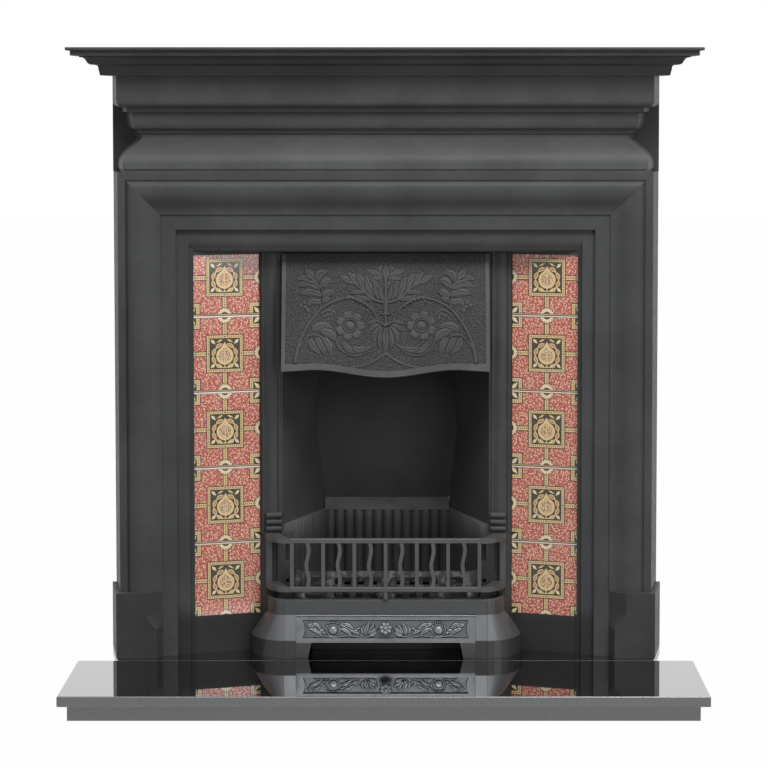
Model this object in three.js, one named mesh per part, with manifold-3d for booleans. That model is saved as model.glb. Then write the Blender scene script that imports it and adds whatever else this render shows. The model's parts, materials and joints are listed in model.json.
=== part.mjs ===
// A cast iron fireplace: bolection mantel, tiled insert with hood and basket grate, granite hearth.
// Millimetres, +Z up, front faces -Y. Depth is measured forward from the wall face of the mantel.
import * as THREE from 'three';
import { mergeVertices } from 'three/addons/utils/BufferGeometryUtils.js';
import Module from 'manifold-3d';

const wasm = await Module();
wasm.setup();

// ---------------------------------------------------------------- driving sizes
const CLEARANCE = 0.3;
const IRON_WALL = 8;
const CURVE_STEPS = 9;

// Hearth
const SLAB_WIDTH = 1219;
const SLAB_DEPTH = 305;
const SLAB_THICKNESS = 20;
const SLAB_ARRIS = 1.5;
const RISER_HEIGHT = 30;
const RISER_THICKNESS = 20;
const RISER_SETBACK = 17;
const CHIMNEY_OPENING_WIDTH = 860;
const BACK_HEARTH_SHOW = 19;

// Mantel
const MANTEL_DEPTH = 130;
const MANTEL_HEIGHT = 1210;
const OPENING_WIDTH = 830;
const OPENING_HEIGHT = 852;
const SLIP_WIDTH = 30;
const SLIP_THICKNESS = 9;
const ROLL_WIDTH = 66;
const ROLL_STEP = 3;
const ROLL_CREST_DEPTH = 122;
const BAND_WIDTH = 17.5;
const BAND_DEPTH = 112;
const QUIRK = 2.5;
const SIDE_SPLAY = 20.5;
const FRIEZE_DEPTH = 118;
const FRIEZE_PANEL_THICKNESS = 6;
// Frieze members: share of its height below the shelf, and set-back from the fascia
const FASCIA_SHARE = 0.255;
const THUMB_SHARE = 0.332;
const THUMB_SETBACK = 18;
const FILLET_SHARE = 0.375;
const COVE_TOP_SHARE = 0.405;
const COVE_SETBACK = 28;
const COVE_SHARE = 0.56;
const COVE_FOOT_SETBACK = 38;
const LIST_SHARE = 0.6;
const LIST_SETBACK = 43;
const WAIST_TOP_SHARE = 0.612;
const WAIST_SHARE = 0.645;
const WAIST_SETBACK = 46.5;
const CYMA_SHARE = 0.91;
const CYMA_SETBACK = 9.5;
const FRIEZE_FOOT_SHARE = 0.968;
const FRIEZE_FOOT_SETBACK = 12;
const SHELF_WIDTH = 1236;
const SHELF_HEIGHT = 54;
const SHELF_OVERHANG = 82;
const SHELF_PLATE = 8;
// Shelf members from the top edge down: height of each, and how far it steps in
const NOSING_HEIGHT = 6.5;
const NOSING_ROUND = 3;
const NOSING_STEP = 8.7;
const SHELF_FASCIA_HEIGHT = 9.5;
const SHELF_FASCIA_STEP = 15.8;
const SHELF_FILLET_HEIGHT = 3;
const SHELF_CYMA_HEIGHT = 14.5;
const SHELF_CYMA_RUN = 22.5;
const BED_STEP = 3.5;
const BED_ROUND = 7;
const BED_SLOPE = 3;
const PLINTH_WIDTH = 90;
const PLINTH_HEIGHT = 130;
const PLINTH_SPLAY = 22;
const PLINTH_STOP_HEIGHT = 59;
const PLINTH_STOP_RUN = 34;
const PLINTH_STOP_WIDTH = 33;
const PLINTH_CHAMFER = 10;

// Insert front
const INSERT_FACE_DEPTH = 95;
const INSERT_PLATE = 6;
const INSERT_LAP = 25;
const INSERT_REVEAL = 25;
const INSERT_TOP_REVEAL = 21.5;
const REBATE_WIDTH = 8;
const REBATE_DEPTH = 9;
const SPLAY_OUTER_DEPTH = 82;
const SPLAY_INNER_DEPTH = 40;
const SPLAY_INNER_HALF = 253;
const SPLAY_PLATE = 12;
const FIRE_OPENING_WIDTH = 414;
const PILASTER_DEPTH = 48;
const PILASTER_PLATE = 14;
const SOFFIT_DROP = 22.5;
const SOFFIT_FALL = 7;
const SOFFIT_NOSE_RUN = 7;
const SOFFIT_NOSE_DROP = 14;
const COLLAR_REED = 13.5;
const COLLAR_REEDS = 3;
const COLLAR_REED_RADIUS = 6.2;
const REED_RISE = 5;
const COLLAR_INNER_HALF = 210;
const COLLAR_OUTER_HALF = 240;
const GRATE_JAMB_HALF = 190;
const GRATE_JAMB_DEPTH = 52;
const FLUTE_WIDTH = 9;
const FLUTE_DEPTH = 4;
const FLUTE_INSET = 14;
const PEG_SLOT_HEIGHT = 42;
const PEG_SLOT_WIDTH = 12;
const PEG_SLOT_BASE = 180;
const SMALL_HOLE_RADIUS = 4;

// Tiles
const TILE_SIZE = 152.4;
const TILE_THICKNESS = 9;
const TILE_JOINT = 0.6;
const TILE_COUNT = 5;
const TILE_LIP = 3;
const TILE_SHIFT = 3.7;
const TILE_REST = 6;
const RETAINER_THICKNESS = 2;

// Hood
const HOOD_LEAN = 70;
const HOOD_TOP_DEPTH = 50;
const HOOD_HEIGHT = 233;
const HOOD_PLATE = 6;
const HOOD_LIP = 13;
const HOOD_BORDER = 8;
const HOOD_RAISE = 2.5;
const HOOD_WAVE = 4;
const HOOD_DROP = 15.5;
const HOOD_WAVE_SHARE = 0.69;
const HOOD_BOLT_RADIUS = 4;
const HOOD_BOLT_HEAD_RADIUS = 7.6;
const HOOD_BOLT_HEAD = 5;
const HOOD_BOLT_REACH = 18;
const HOOD_BOLT_DROP = 22;

// Firebox
const BRICK_HEIGHT = 253;
const BRICK_LEDGE = 100;
const BRICK_LEDGE_WIDTH = 10;
const BRICK_EASE = 3;
const BRICK_THICKNESS = 34;
const FIREBOX_DEPTH = 165;
const FIREBOX_REAR_HALF = 130;
const BACK_BRICK_THICKNESS = 30;
const BACK_REEDS = 13;
const SIDE_REEDS = 12;
const REED_BULGE = 4.5;
const REED_GROOVE = 4;
const REED_GROOVE_SHARE = 0.09;
const LEDGE_RISE = 22;
const LEDGE_RUN = 15;
const CHEEK_PLATE = 6;
const KNEE_HEIGHT = 424;
const KNEE_LEAN = 45;
const THROAT_HEIGHT = 700;
const THROAT_LEAN = 38;
const THROAT_PLATE = 6;
const THROAT_LAP = 10;
const FLUE_SETBACK = 20;
const FLUE_WIDTH = 240;
const FLUE_DEPTH = 110;
const DAMPER_PLATE = 5;
const DAMPER_PIN_RADIUS = 3;
const DAMPER_BARREL_RADIUS = 7;
const DAMPER_PIN_GAP = 4;
const DAMPER_LAP = 10;
const DAMPER_PIN_END = 4;

// Grate
const BARS_DEPTH = 122;
const BARS_WIDTH = 380;
const BARS_BASE = 131;
const BARS_HEIGHT = 108;
const RAIL_HEIGHT = 10.5;
const RAIL_THICKNESS = 8;
const ARM_INNER_HALF = 214;
const ARM_STRIP_WIDTH = 12;
const ARM_STRIP_THICKNESS = 4;
const TONGUE_THICKNESS = 5.4;
const HOOK_THICKNESS = 4;
const HOOK_WIDTH = 6;
const BAR_COUNT = 13;
const BAR_WIDTH = 7.5;
const BAR_THICKNESS = 7;
const BAR_WAVE = 2.5;
const APRON_TOP = 116;
const APRON_BASE = 86;
const APRON_DEPTH = 114;
const APRON_HALF = 203;
const END_SPREAD = 37;
const APRON_STEP = 2;
const APRON_ROUND = 3;
const FLARE_DEPTH = 14;
const FLARE_SPREAD = 32;
const FLARE_HEIGHT = 35;
const COVER_WIDTH = 357;
const COVER_BASE = 31;
const COVER_TOP = 85;
const COVER_PLATE = 8;
const COVER_GAP = 2;
const COVER_FOOT = 24;
const COVER_FOOT_SPLAY = 7;
const COVER_BORDER = 8.5;
const COVER_END_BORDER = 13;
const COVER_SINK = 3;
const COVER_HOLLOW = 9;
const COVER_BEAD = 2.2;
const KNOB_HEIGHT = 57;
const KNOB_RADIUS = 14;
const KNOB_NECK_RADIUS = 5.5;
const KNOB_FOOT_RADIUS = 8;
const KNOB_REACH = 19;
const KNOB_STEP = 2;
const KNOB_PETALS = 7;
const PETAL_RADIUS = 5;
const GRATE_THICKNESS = 12;
const GRATE_PITCH = 27;
const GRATE_SLOT = 14;
const GRATE_SLOTS = 9;
const GRATE_GAP = 4;
const GRATE_SETBACK = 6;
const GRATE_CORNER = 24;
const FENCE_HEIGHT = 57;
const FENCE_THICKNESS = 6;
const FENCE_RAIL = 12;
const FENCE_FOOT = 3;
const FENCE_WINDOW = 16;
const FENCE_POST_AT = 110;
const PAN_HEIGHT = 60;
const PAN_SHEET = 2;
const PAN_FRONT_DEPTH = 45;
const PAN_REAR_DEPTH = -110;
const PAN_FRONT_HALF = 150;
const PAN_REAR_HALF = 115;
const HANDLE_WIDTH = 70;
const HANDLE_HEIGHT = 12;
const HANDLE_STRIP = 4;
const HANDLE_REACH = 9;

// ---------------------------------------------------------------- worked-out places
const slabTop = RISER_HEIGHT + SLAB_THICKNESS;
const jointDepth = MANTEL_DEPTH + BACK_HEARTH_SHOW;
const slabFront = jointDepth + SLAB_DEPTH;
const openingHalf = OPENING_WIDTH / 2;
const rollEnd = SLIP_WIDTH + ROLL_WIDTH;
const bandEnd = rollEnd + BAND_WIDTH;
const slipDepth = INSERT_FACE_DEPTH + SLIP_THICKNESS;
const headerTop = OPENING_HEIGHT + bandEnd;
const shelfBase = MANTEL_HEIGHT - SHELF_HEIGHT;
const friezeHeight = shelfBase - headerTop;
const wallHalf = openingHalf + bandEnd + SIDE_SPLAY;
const insertHalf = openingHalf - INSERT_REVEAL;
const insertTop = OPENING_HEIGHT - INSERT_TOP_REVEAL;
const fireHalf = FIRE_OPENING_WIDTH / 2;
const splayOuterHalf = insertHalf - REBATE_WIDTH;
const splayRun = splayOuterHalf - SPLAY_INNER_HALF;
const splayRise = SPLAY_OUTER_DEPTH - SPLAY_INNER_DEPTH;
const splayLength = Math.hypot(splayRun, splayRise);
const pilasterBack = PILASTER_DEPTH - PILASTER_PLATE;
const soffitOuter = insertTop - SOFFIT_DROP;
const soffitInner = soffitOuter - SOFFIT_FALL;
const tileBase = insertTop - TILE_COUNT * TILE_SIZE;
const fireboxRear = FIREBOX_DEPTH + BACK_BRICK_THICKNESS;
const hearthRear = fireboxRear + 10;
const pilasterOuter = SPLAY_INNER_HALF - 1.5;
const jambOuter = COLLAR_OUTER_HALF + 1;
const cheekFront = pilasterBack - CLEARANCE;
const barsHalf = BARS_WIDTH / 2;
const barsTop = BARS_BASE + BARS_HEIGHT;
const barsBack = BARS_DEPTH - RAIL_THICKNESS;
const collarBase = barsTop + 1;
const tongueFront = barsBack - 2 * CLEARANCE;
const flareSlope = FLARE_DEPTH / (APRON_BASE - FLARE_HEIGHT);
const SIDES = [['left', -1], ['right', 1]];

// ---------------------------------------------------------------- materials
const finish = (color, roughness, metalness) =>
  new THREE.MeshStandardMaterial({ color, roughness, metalness });
const matIron = finish(0x3d3f40, 0.62, 0.5);
const polishedIron = finish(0x8d9094, 0.38, 0.85);
const brickIron = finish(0x434445, 0.8, 0.3);
const granite = finish(0x16191a, 0.08, 0.0);
const mortar = finish(0x8a8780, 0.95, 0.0);
const glazedTile = finish(0xb8604f, 0.18, 0.0);
const sheetSteel = finish(0x6a6d70, 0.5, 0.8);

// ---------------------------------------------------------------- solid helpers
function signedVolume(geometry) {
  const p = geometry.attributes.position;
  const [a, b, c] = [new THREE.Vector3(), new THREE.Vector3(), new THREE.Vector3()];
  let volume = 0;
  for (let i = 0; i < p.count; i += 3) {
    a.fromBufferAttribute(p, i);
    b.fromBufferAttribute(p, i + 1);
    c.fromBufferAttribute(p, i + 2);
    volume += a.dot(b.cross(c));
  }
  return volume;
}

// Turns every face the right way round: outwards.
function facingOut(geometry) {
  const flat = geometry.index ? geometry.toNonIndexed() : geometry;
  if (signedVolume(flat) < 0) {
    const p = flat.attributes.position;
    for (let i = 0; i < p.count; i += 3) {
      const [x, y, z] = [p.getX(i), p.getY(i), p.getZ(i)];
      p.setXYZ(i, p.getX(i + 1), p.getY(i + 1), p.getZ(i + 1));
      p.setXYZ(i + 1, x, y, z);
    }
  }
  return flat;
}

function toManifold(geometry) {
  const bare = facingOut(geometry.clone());
  bare.deleteAttribute('normal');
  bare.deleteAttribute('uv');
  const merged = mergeVertices(bare, 1e-4);
  return new wasm.Manifold(new wasm.Mesh({
    numProp: 3,
    vertProperties: new Float32Array(merged.attributes.position.array),
    triVerts: new Uint32Array(merged.index.array),
  }));
}

function toGeometry(manifold) {
  const mesh = manifold.getMesh();
  const geometry = new THREE.BufferGeometry();
  geometry.setAttribute('position', new THREE.BufferAttribute(mesh.vertProperties, 3));
  geometry.setIndex(new THREE.BufferAttribute(mesh.triVerts, 1));
  return geometry;
}

const combine = (method, base, others) =>
  toGeometry(others.reduce((whole, other) => whole[method](toManifold(other)), toManifold(base)));
const join = (base, ...others) => combine('add', base, others);
const cut = (base, ...others) => combine('subtract', base, others);
const common = (base, ...others) => combine('intersect', base, others);

const outline = (points) => new THREE.Shape(points.map(([a, b]) => new THREE.Vector2(a, b)));

// Carries a flat section through stations: place(a, b, k) says where its point lies at station k.
function sweep(section, stations, place, curveSegments = CURVE_STEPS) {
  const steps = stations - 1;
  const geometry = new THREE.ExtrudeGeometry(section, {
    depth: steps, steps, bevelEnabled: false, curveSegments,
  });
  const p = geometry.attributes.position;
  for (let i = 0; i < p.count; i += 1) {
    p.setXYZ(i, ...place(p.getX(i), p.getY(i), Math.round(p.getZ(i))));
  }
  return facingOut(geometry);
}

// Straight prisms. Sections: upright (x, depth), across (depth, z), through (x, z).
const upright = (section, z0, z1, curves) =>
  sweep(section, 2, (x, depth, k) => [x, -depth, k ? z1 : z0], curves);
const across = (section, x0, x1, curves) =>
  sweep(section, 2, (depth, z, k) => [k ? x1 : x0, -depth, z], curves);
const through = (section, depth0, depth1, curves) =>
  sweep(section, 2, (x, z, k) => [x, -(k ? depth1 : depth0), z], curves);

const rectangle = (a0, a1, b0, b1) => outline([[a0, b0], [a1, b0], [a1, b1], [a0, b1]]);
const block = (x0, x1, depth0, depth1, z0, z1) =>
  upright(rectangle(x0, x1, depth0, depth1), z0, z1);

// A round bar between two points.
function rod(radius, from, to, sides = 16) {
  const start = new THREE.Vector3(...from);
  const axis = new THREE.Vector3(...to).sub(start);
  const geometry = new THREE.CylinderGeometry(radius, radius, axis.length(), sides);
  geometry.translate(0, axis.length() / 2, 0);
  const up = new THREE.Vector3(0, 1, 0);
  geometry.applyQuaternion(new THREE.Quaternion().setFromUnitVectors(up, axis.normalize()));
  return geometry.translate(start.x, start.y, start.z);
}

const mirrored = (geometry) => facingOut(geometry.clone().scale(-1, 1, 1));
const onSide = (sign, geometry) => (sign < 0 ? mirrored(geometry) : geometry);

const fireplace = new THREE.Group();
const surround = new THREE.Group();
surround.position.z = slabTop;
fireplace.add(surround);
fireplace.position.y = (slabFront - hearthRear) / 2;

function add(name, geometry, material, parent = surround) {
  const clean = geometry.index ? geometry.toNonIndexed() : geometry;
  clean.computeVertexNormals();
  const mesh = new THREE.Mesh(clean, material);
  mesh.name = name;
  parent.add(mesh);
  return mesh;
}

// ---------------------------------------------------------------- hearth
function stoneSlab(plan, base) {
  const geometry = new THREE.ExtrudeGeometry(plan, {
    depth: SLAB_THICKNESS - 2 * SLAB_ARRIS,
    bevelThickness: SLAB_ARRIS,
    bevelSize: SLAB_ARRIS,
    bevelOffset: -SLAB_ARRIS,
    bevelSegments: 1,
  });
  return geometry.translate(0, 0, base + SLAB_ARRIS);
}

// The back hearth follows the splayed plinths in front and is narrow in the chimney opening.
function backHearthPlan(inset) {
  const wide = openingHalf + SLIP_WIDTH + PLINTH_WIDTH + PLINTH_SPLAY - inset;
  const forward = wide - PLINTH_SPLAY * jointDepth / MANTEL_DEPTH;
  const narrow = CHIMNEY_OPENING_WIDTH / 2 - inset;
  const front = -jointDepth;
  return outline([
    [-forward, front], [forward, front], [wide, -inset], [narrow, -inset],
    [narrow, hearthRear - inset], [-narrow, hearthRear - inset], [-narrow, -inset], [-wide, -inset],
  ]);
}

function buildHearth() {
  const half = SLAB_WIDTH / 2;
  const riserHalf = half - RISER_SETBACK;
  const riserFront = slabFront - RISER_SETBACK;
  const riserBack = riserFront - RISER_THICKNESS;
  const riserInner = riserHalf - RISER_THICKNESS;
  const slabPlan = rectangle(-half, half, -slabFront, -jointDepth);
  add('hearth_slab', stoneSlab(slabPlan, RISER_HEIGHT), granite, fireplace);
  add('back_hearth', stoneSlab(backHearthPlan(0), RISER_HEIGHT), granite, fireplace);
  add('front_riser', block(-riserHalf, riserHalf, riserBack, riserFront, 0, RISER_HEIGHT),
    granite, fireplace);
  for (const [side, sign] of SIDES) {
    const riser = block(riserInner, riserHalf, jointDepth, riserBack, 0, RISER_HEIGHT);
    add(`${side}_riser`, onSide(sign, riser), granite, fireplace);
  }
  add('hearth_bed', block(-riserInner, riserInner, jointDepth, riserBack, 0, RISER_HEIGHT),
    mortar, fireplace);
  const bed = new THREE.ExtrudeGeometry(backHearthPlan(RISER_SETBACK / 2), {
    depth: RISER_HEIGHT, bevelEnabled: false,
  });
  add('back_hearth_bed', bed, mortar, fireplace);
}

// ---------------------------------------------------------------- mantel
// Bolection section: u runs outward from the opening edge, the second value is depth.
function bolectionSection(splay) {
  const crestAt = SLIP_WIDTH + 0.72 * ROLL_WIDTH;
  const stepDepth = slipDepth + ROLL_STEP;
  const s = new THREE.Shape();
  s.moveTo(0, INSERT_FACE_DEPTH);
  s.lineTo(0, slipDepth);
  s.lineTo(SLIP_WIDTH, slipDepth);
  s.lineTo(SLIP_WIDTH, stepDepth);
  s.bezierCurveTo(
    SLIP_WIDTH + 0.3 * ROLL_WIDTH, stepDepth,
    SLIP_WIDTH + 0.38 * ROLL_WIDTH, ROLL_CREST_DEPTH,
    crestAt, ROLL_CREST_DEPTH,
  );
  s.quadraticCurveTo(rollEnd, ROLL_CREST_DEPTH, rollEnd, BAND_DEPTH - QUIRK);
  s.lineTo(rollEnd + QUIRK, BAND_DEPTH - QUIRK);
  s.lineTo(rollEnd + QUIRK, BAND_DEPTH);
  s.lineTo(bandEnd, BAND_DEPTH);
  s.lineTo(bandEnd + splay, 0);
  s.lineTo(bandEnd + splay - IRON_WALL, 0);
  s.lineTo(bandEnd - IRON_WALL, BAND_DEPTH - QUIRK - IRON_WALL);
  s.lineTo(rollEnd - QUIRK, BAND_DEPTH - QUIRK - IRON_WALL);
  s.lineTo(crestAt, ROLL_CREST_DEPTH - IRON_WALL);
  s.lineTo(SLIP_WIDTH + 0.3 * ROLL_WIDTH, stepDepth - IRON_WALL);
  s.lineTo(SLIP_WIDTH, INSERT_FACE_DEPTH);
  return s;
}

function buildFrame() {
  const jambTop = (u) => OPENING_HEIGHT + Math.min(u, bandEnd);
  const header = sweep(bolectionSection(0), 2, (u, depth, k) => [
    (k ? 1 : -1) * (openingHalf + u - CLEARANCE / 2), -depth, OPENING_HEIGHT + u,
  ]);
  add('header', header, matIron);
  const post = sweep(bolectionSection(SIDE_SPLAY), 2, (u, depth, k) => [
    openingHalf + u, -depth, k ? jambTop(u) - CLEARANCE / 2 : 0,
  ]);
  const plinthSpace = block(openingHalf + SLIP_WIDTH, wallHalf + MANTEL_DEPTH,
    -IRON_WALL, MANTEL_DEPTH + IRON_WALL, -IRON_WALL, PLINTH_HEIGHT);
  const capInner = openingHalf + bandEnd + CLEARANCE;
  const cap = upright(outline([
    [capInner, 0], [wallHalf - 1, 0], [capInner, BAND_DEPTH - IRON_WALL],
  ]), headerTop - IRON_WALL, headerTop - CLEARANCE / 2);
  const jamb = cut(join(post, cap), plinthSpace);
  const plinth = plinthBlock();
  for (const [side, sign] of SIDES) {
    add(`${side}_jamb`, onSide(sign, jamb), matIron);
    add(`${side}_plinth`, onSide(sign, plinth), matIron);
  }
}

// Hollow plinth block; the chamfer on its inner front corner widens to a curved stop at the top.
function plinthBlock() {
  const inner = openingHalf + SLIP_WIDTH;
  const outer = inner + PLINTH_WIDTH;
  const half = IRON_WALL / 2;
  const shell = upright(outline([
    [inner, 0], [outer + PLINTH_SPLAY, 0], [outer, MANTEL_DEPTH],
    [inner + PLINTH_CHAMFER, MANTEL_DEPTH], [inner, slipDepth],
  ]), 0, PLINTH_HEIGHT);
  const hollow = upright(outline([
    [inner + IRON_WALL, -half],
    [outer + PLINTH_SPLAY - IRON_WALL + half, -half],
    [outer - IRON_WALL, MANTEL_DEPTH - IRON_WALL],
    [inner + PLINTH_STOP_WIDTH + half, MANTEL_DEPTH - IRON_WALL],
    [inner + IRON_WALL, slipDepth - half],
  ]), -half, PLINTH_HEIGHT - IRON_WALL);
  const stations = 11;
  const front = MANTEL_DEPTH + IRON_WALL;
  const stop = sweep(outline([[0, 0], [1, 0], [0, 1]]), stations + 1, (a, b, k) => {
    const run = Math.min(1, k / (stations - 1));
    const grow = Math.sin(run * Math.PI / 2);
    const width = PLINTH_CHAMFER + (PLINTH_STOP_WIDTH - PLINTH_CHAMFER) * grow;
    const slope = width / (MANTEL_DEPTH - slipDepth);
    const lineAt = (depth) => inner - CLEARANCE + (depth - slipDepth) * slope;
    const z = k === stations ? PLINTH_HEIGHT + half : PLINTH_STOP_HEIGHT + run * PLINTH_STOP_RUN;
    const rear = slipDepth - half;
    return [
      a > 0 ? lineAt(front) : lineAt(rear) - (b > 0 ? 0 : IRON_WALL),
      -(b > 0 ? rear : front),
      z,
    ];
  });
  return cut(shell, hollow, stop);
}

// Frieze section: set-back from the full projection, and height above the hearth.
function friezeSection() {
  const at = (share) => shelfBase - share * friezeHeight;
  const between = (t) => at(WAIST_SHARE + t * (CYMA_SHARE - WAIST_SHARE));
  const wall = IRON_WALL;
  const s = new THREE.Shape();
  s.moveTo(0, shelfBase);
  s.lineTo(0, at(FASCIA_SHARE));
  s.quadraticCurveTo(0, at(THUMB_SHARE), THUMB_SETBACK, at(THUMB_SHARE));
  s.lineTo(THUMB_SETBACK, at(FILLET_SHARE));
  s.quadraticCurveTo(COVE_SETBACK, at(FILLET_SHARE), COVE_SETBACK, at(COVE_TOP_SHARE));
  s.quadraticCurveTo(COVE_SETBACK, at(COVE_SHARE), COVE_FOOT_SETBACK, at(COVE_SHARE));
  s.lineTo(LIST_SETBACK, at(COVE_SHARE));
  s.lineTo(LIST_SETBACK, at(LIST_SHARE));
  s.lineTo(WAIST_SETBACK, at(WAIST_TOP_SHARE));
  s.lineTo(WAIST_SETBACK, at(WAIST_SHARE));
  s.bezierCurveTo(
    WAIST_SETBACK * 0.75, between(0.3), CYMA_SETBACK, between(0.6),
    CYMA_SETBACK, at(CYMA_SHARE),
  );
  s.lineTo(CYMA_SETBACK, at(FRIEZE_FOOT_SHARE));
  s.lineTo(FRIEZE_FOOT_SETBACK, at(FRIEZE_FOOT_SHARE));
  s.lineTo(FRIEZE_FOOT_SETBACK, headerTop);
  s.lineTo(FRIEZE_FOOT_SETBACK + wall, headerTop);
  s.lineTo(FRIEZE_FOOT_SETBACK + wall, at(CYMA_SHARE));
  s.lineTo((WAIST_SETBACK + CYMA_SETBACK) / 2 + wall, between(0.5));
  s.lineTo(WAIST_SETBACK + wall, at(WAIST_SHARE));
  s.lineTo(WAIST_SETBACK + wall, at(COVE_SHARE));
  s.lineTo(COVE_SETBACK + wall, at(COVE_TOP_SHARE));
  s.lineTo(COVE_SETBACK + wall, at(FILLET_SHARE));
  s.lineTo(wall, at(FASCIA_SHARE));
  s.lineTo(wall, shelfBase);
  return s;
}

// Runs a section round the front and both ends, mitred at the corners; the ends may splay outward.
function mitredReturn(section, halfWidth, frontDepth, backDepth, splay) {
  return sweep(section, 4, (inset, z, k) => [
    (k < 2 ? -1 : 1) * (halfWidth - inset + (k === 0 || k === 3 ? splay : 0)),
    -(k === 0 || k === 3 ? backDepth : frontDepth - inset),
    z,
  ]);
}

// Shelf section: negative set-back is overhang beyond the frieze.
function shelfSection() {
  const top = MANTEL_HEIGHT;
  const wall = IRON_WALL;
  const edge = -SHELF_OVERHANG;
  const nosingEnd = top - NOSING_HEIGHT;
  const fasciaAt = edge + NOSING_STEP;
  const fasciaEnd = nosingEnd - SHELF_FASCIA_HEIGHT;
  const cymaAt = fasciaAt + SHELF_FASCIA_STEP;
  const cymaTop = fasciaEnd - SHELF_FILLET_HEIGHT;
  const cymaEnd = cymaTop - SHELF_CYMA_HEIGHT;
  const cymaFoot = cymaAt + SHELF_CYMA_RUN;
  const bedAt = cymaFoot + BED_STEP;
  const s = new THREE.Shape();
  s.moveTo(wall, top);
  s.lineTo(edge + NOSING_ROUND / 2, top);
  s.quadraticCurveTo(edge, top, edge, top - NOSING_ROUND);
  s.quadraticCurveTo(edge, nosingEnd, edge + NOSING_ROUND, nosingEnd);
  s.lineTo(fasciaAt, nosingEnd);
  s.lineTo(fasciaAt, fasciaEnd);
  s.lineTo(cymaAt, fasciaEnd);
  s.lineTo(cymaAt, cymaTop);
  s.bezierCurveTo(
    cymaAt + 0.7 * SHELF_CYMA_RUN, cymaTop,
    cymaAt + 0.4 * SHELF_CYMA_RUN, cymaEnd,
    cymaFoot, cymaEnd,
  );
  s.lineTo(bedAt, cymaEnd);
  s.quadraticCurveTo(bedAt + BED_ROUND, cymaEnd, bedAt + BED_ROUND, cymaEnd - BED_ROUND);
  s.lineTo(bedAt + BED_ROUND + BED_SLOPE, shelfBase);
  s.lineTo(wall, shelfBase);
  s.lineTo(wall, shelfBase + wall);
  s.lineTo(bedAt + BED_ROUND + wall, shelfBase + wall);
  s.lineTo(bedAt + wall / 2, cymaEnd + wall / 2);
  s.lineTo(cymaFoot, cymaEnd + wall);
  s.lineTo(cymaAt + wall, fasciaEnd);
  s.lineTo(cymaAt + wall, top - SHELF_PLATE);
  s.lineTo(wall, top - SHELF_PLATE);
  return s;
}

function buildFriezeAndShelf() {
  const frieze = mitredReturn(friezeSection(), openingHalf + bandEnd, FRIEZE_DEPTH,
    FRIEZE_PANEL_THICKNESS, SIDE_SPLAY);
  add('frieze_moulding', frieze, matIron);
  add('frieze_panel', block(-wallHalf, wallHalf, 0, FRIEZE_PANEL_THICKNESS, headerTop, shelfBase),
    matIron);
  const half = SHELF_WIDTH / 2 - SHELF_OVERHANG;
  const rim = mitredReturn(shelfSection(), half, FRIEZE_DEPTH, 0, 0);
  const overlap = SHELF_OVERHANG / 2;
  const plate = block(-half - overlap, half + overlap, 0, FRIEZE_DEPTH + overlap,
    MANTEL_HEIGHT - SHELF_PLATE, MANTEL_HEIGHT);
  add('mantel_shelf', join(rim, plate), matIron);
}

// ---------------------------------------------------------------- insert front
// A point on a splayed tile panel: s along it from its middle, n behind its face.
function splayPoint(s, n) {
  const [c, t] = [splayRun / splayLength, splayRise / splayLength];
  const midHalf = (splayOuterHalf + SPLAY_INNER_HALF) / 2;
  const midDepth = (SPLAY_OUTER_DEPTH + SPLAY_INNER_DEPTH) / 2;
  return [midHalf + s * c + n * t, midDepth + s * t - n * c];
}
const tileHalf = TILE_SIZE / 2 + TILE_JOINT;

function splayBlock(s0, s1, n0, n1, z0, z1) {
  return sweep(rectangle(s0, s1, n0, n1), 2, (s, n, k) => {
    const [x, depth] = splayPoint(s, n);
    return [x, -depth, k ? z1 : z0];
  });
}

// Reeded face of a pilaster, from the outer edge to the fire opening: narrow, wide, narrow reed.
function pilasterSection() {
  const width = pilasterOuter - fireHalf;
  const face = PILASTER_DEPTH;
  const s = new THREE.Shape();
  s.moveTo(pilasterOuter, pilasterBack);
  s.lineTo(pilasterOuter, face - REED_RISE);
  let x = pilasterOuter;
  for (const [share, rise] of [[0.2, 1], [0.44, 0.8], [0.2, 0.8]]) {
    const end = x - share * width;
    s.quadraticCurveTo((x + end) / 2, face + rise * REED_RISE, end, face - REED_RISE / 2);
    x = end - 0.05 * width;
    s.lineTo(x, face - REED_RISE / 2);
  }
  s.lineTo(fireHalf, face - REED_RISE / 2);
  s.lineTo(fireHalf, pilasterBack);
  return s;
}

// Lower jamb beside the grate, with one flute and a chamfered outer side.
function grateJambSection() {
  const face = GRATE_JAMB_DEPTH;
  const chamfer = pilasterOuter - jambOuter;
  const flute = jambOuter - FLUTE_INSET;
  const s = new THREE.Shape();
  s.moveTo(GRATE_JAMB_HALF, pilasterBack);
  s.lineTo(pilasterOuter, pilasterBack);
  s.lineTo(pilasterOuter, face - chamfer);
  s.lineTo(jambOuter, face);
  s.lineTo(flute, face);
  s.quadraticCurveTo(flute - FLUTE_WIDTH / 2, face - 2 * FLUTE_DEPTH, flute - FLUTE_WIDTH, face);
  s.lineTo(GRATE_JAMB_HALF, face);
  return s;
}

// Plan of the curved arms that hold the front bars: a quarter curve outside, hollowed inside.
function armPlan() {
  const steps = 8;
  const inner = barsHalf + CLEARANCE;
  const points = [];
  for (let i = 0; i <= steps; i += 1) {
    const angle = i / steps * Math.PI / 2;
    points.push([
      inner + (jambOuter - inner) * Math.sin(angle),
      GRATE_JAMB_DEPTH + (BARS_DEPTH - GRATE_JAMB_DEPTH) * Math.cos(angle),
    ]);
  }
  const seat = GRATE_JAMB_DEPTH + CLEARANCE;
  points[steps][1] = seat;
  points.push([ARM_INNER_HALF, seat]);
  const plan = outline(points);
  const turn = (ARM_INNER_HALF + inner) / 2;
  plan.quadraticCurveTo(turn, barsBack - RAIL_THICKNESS, inner, barsBack - 1);
  return plan;
}

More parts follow.
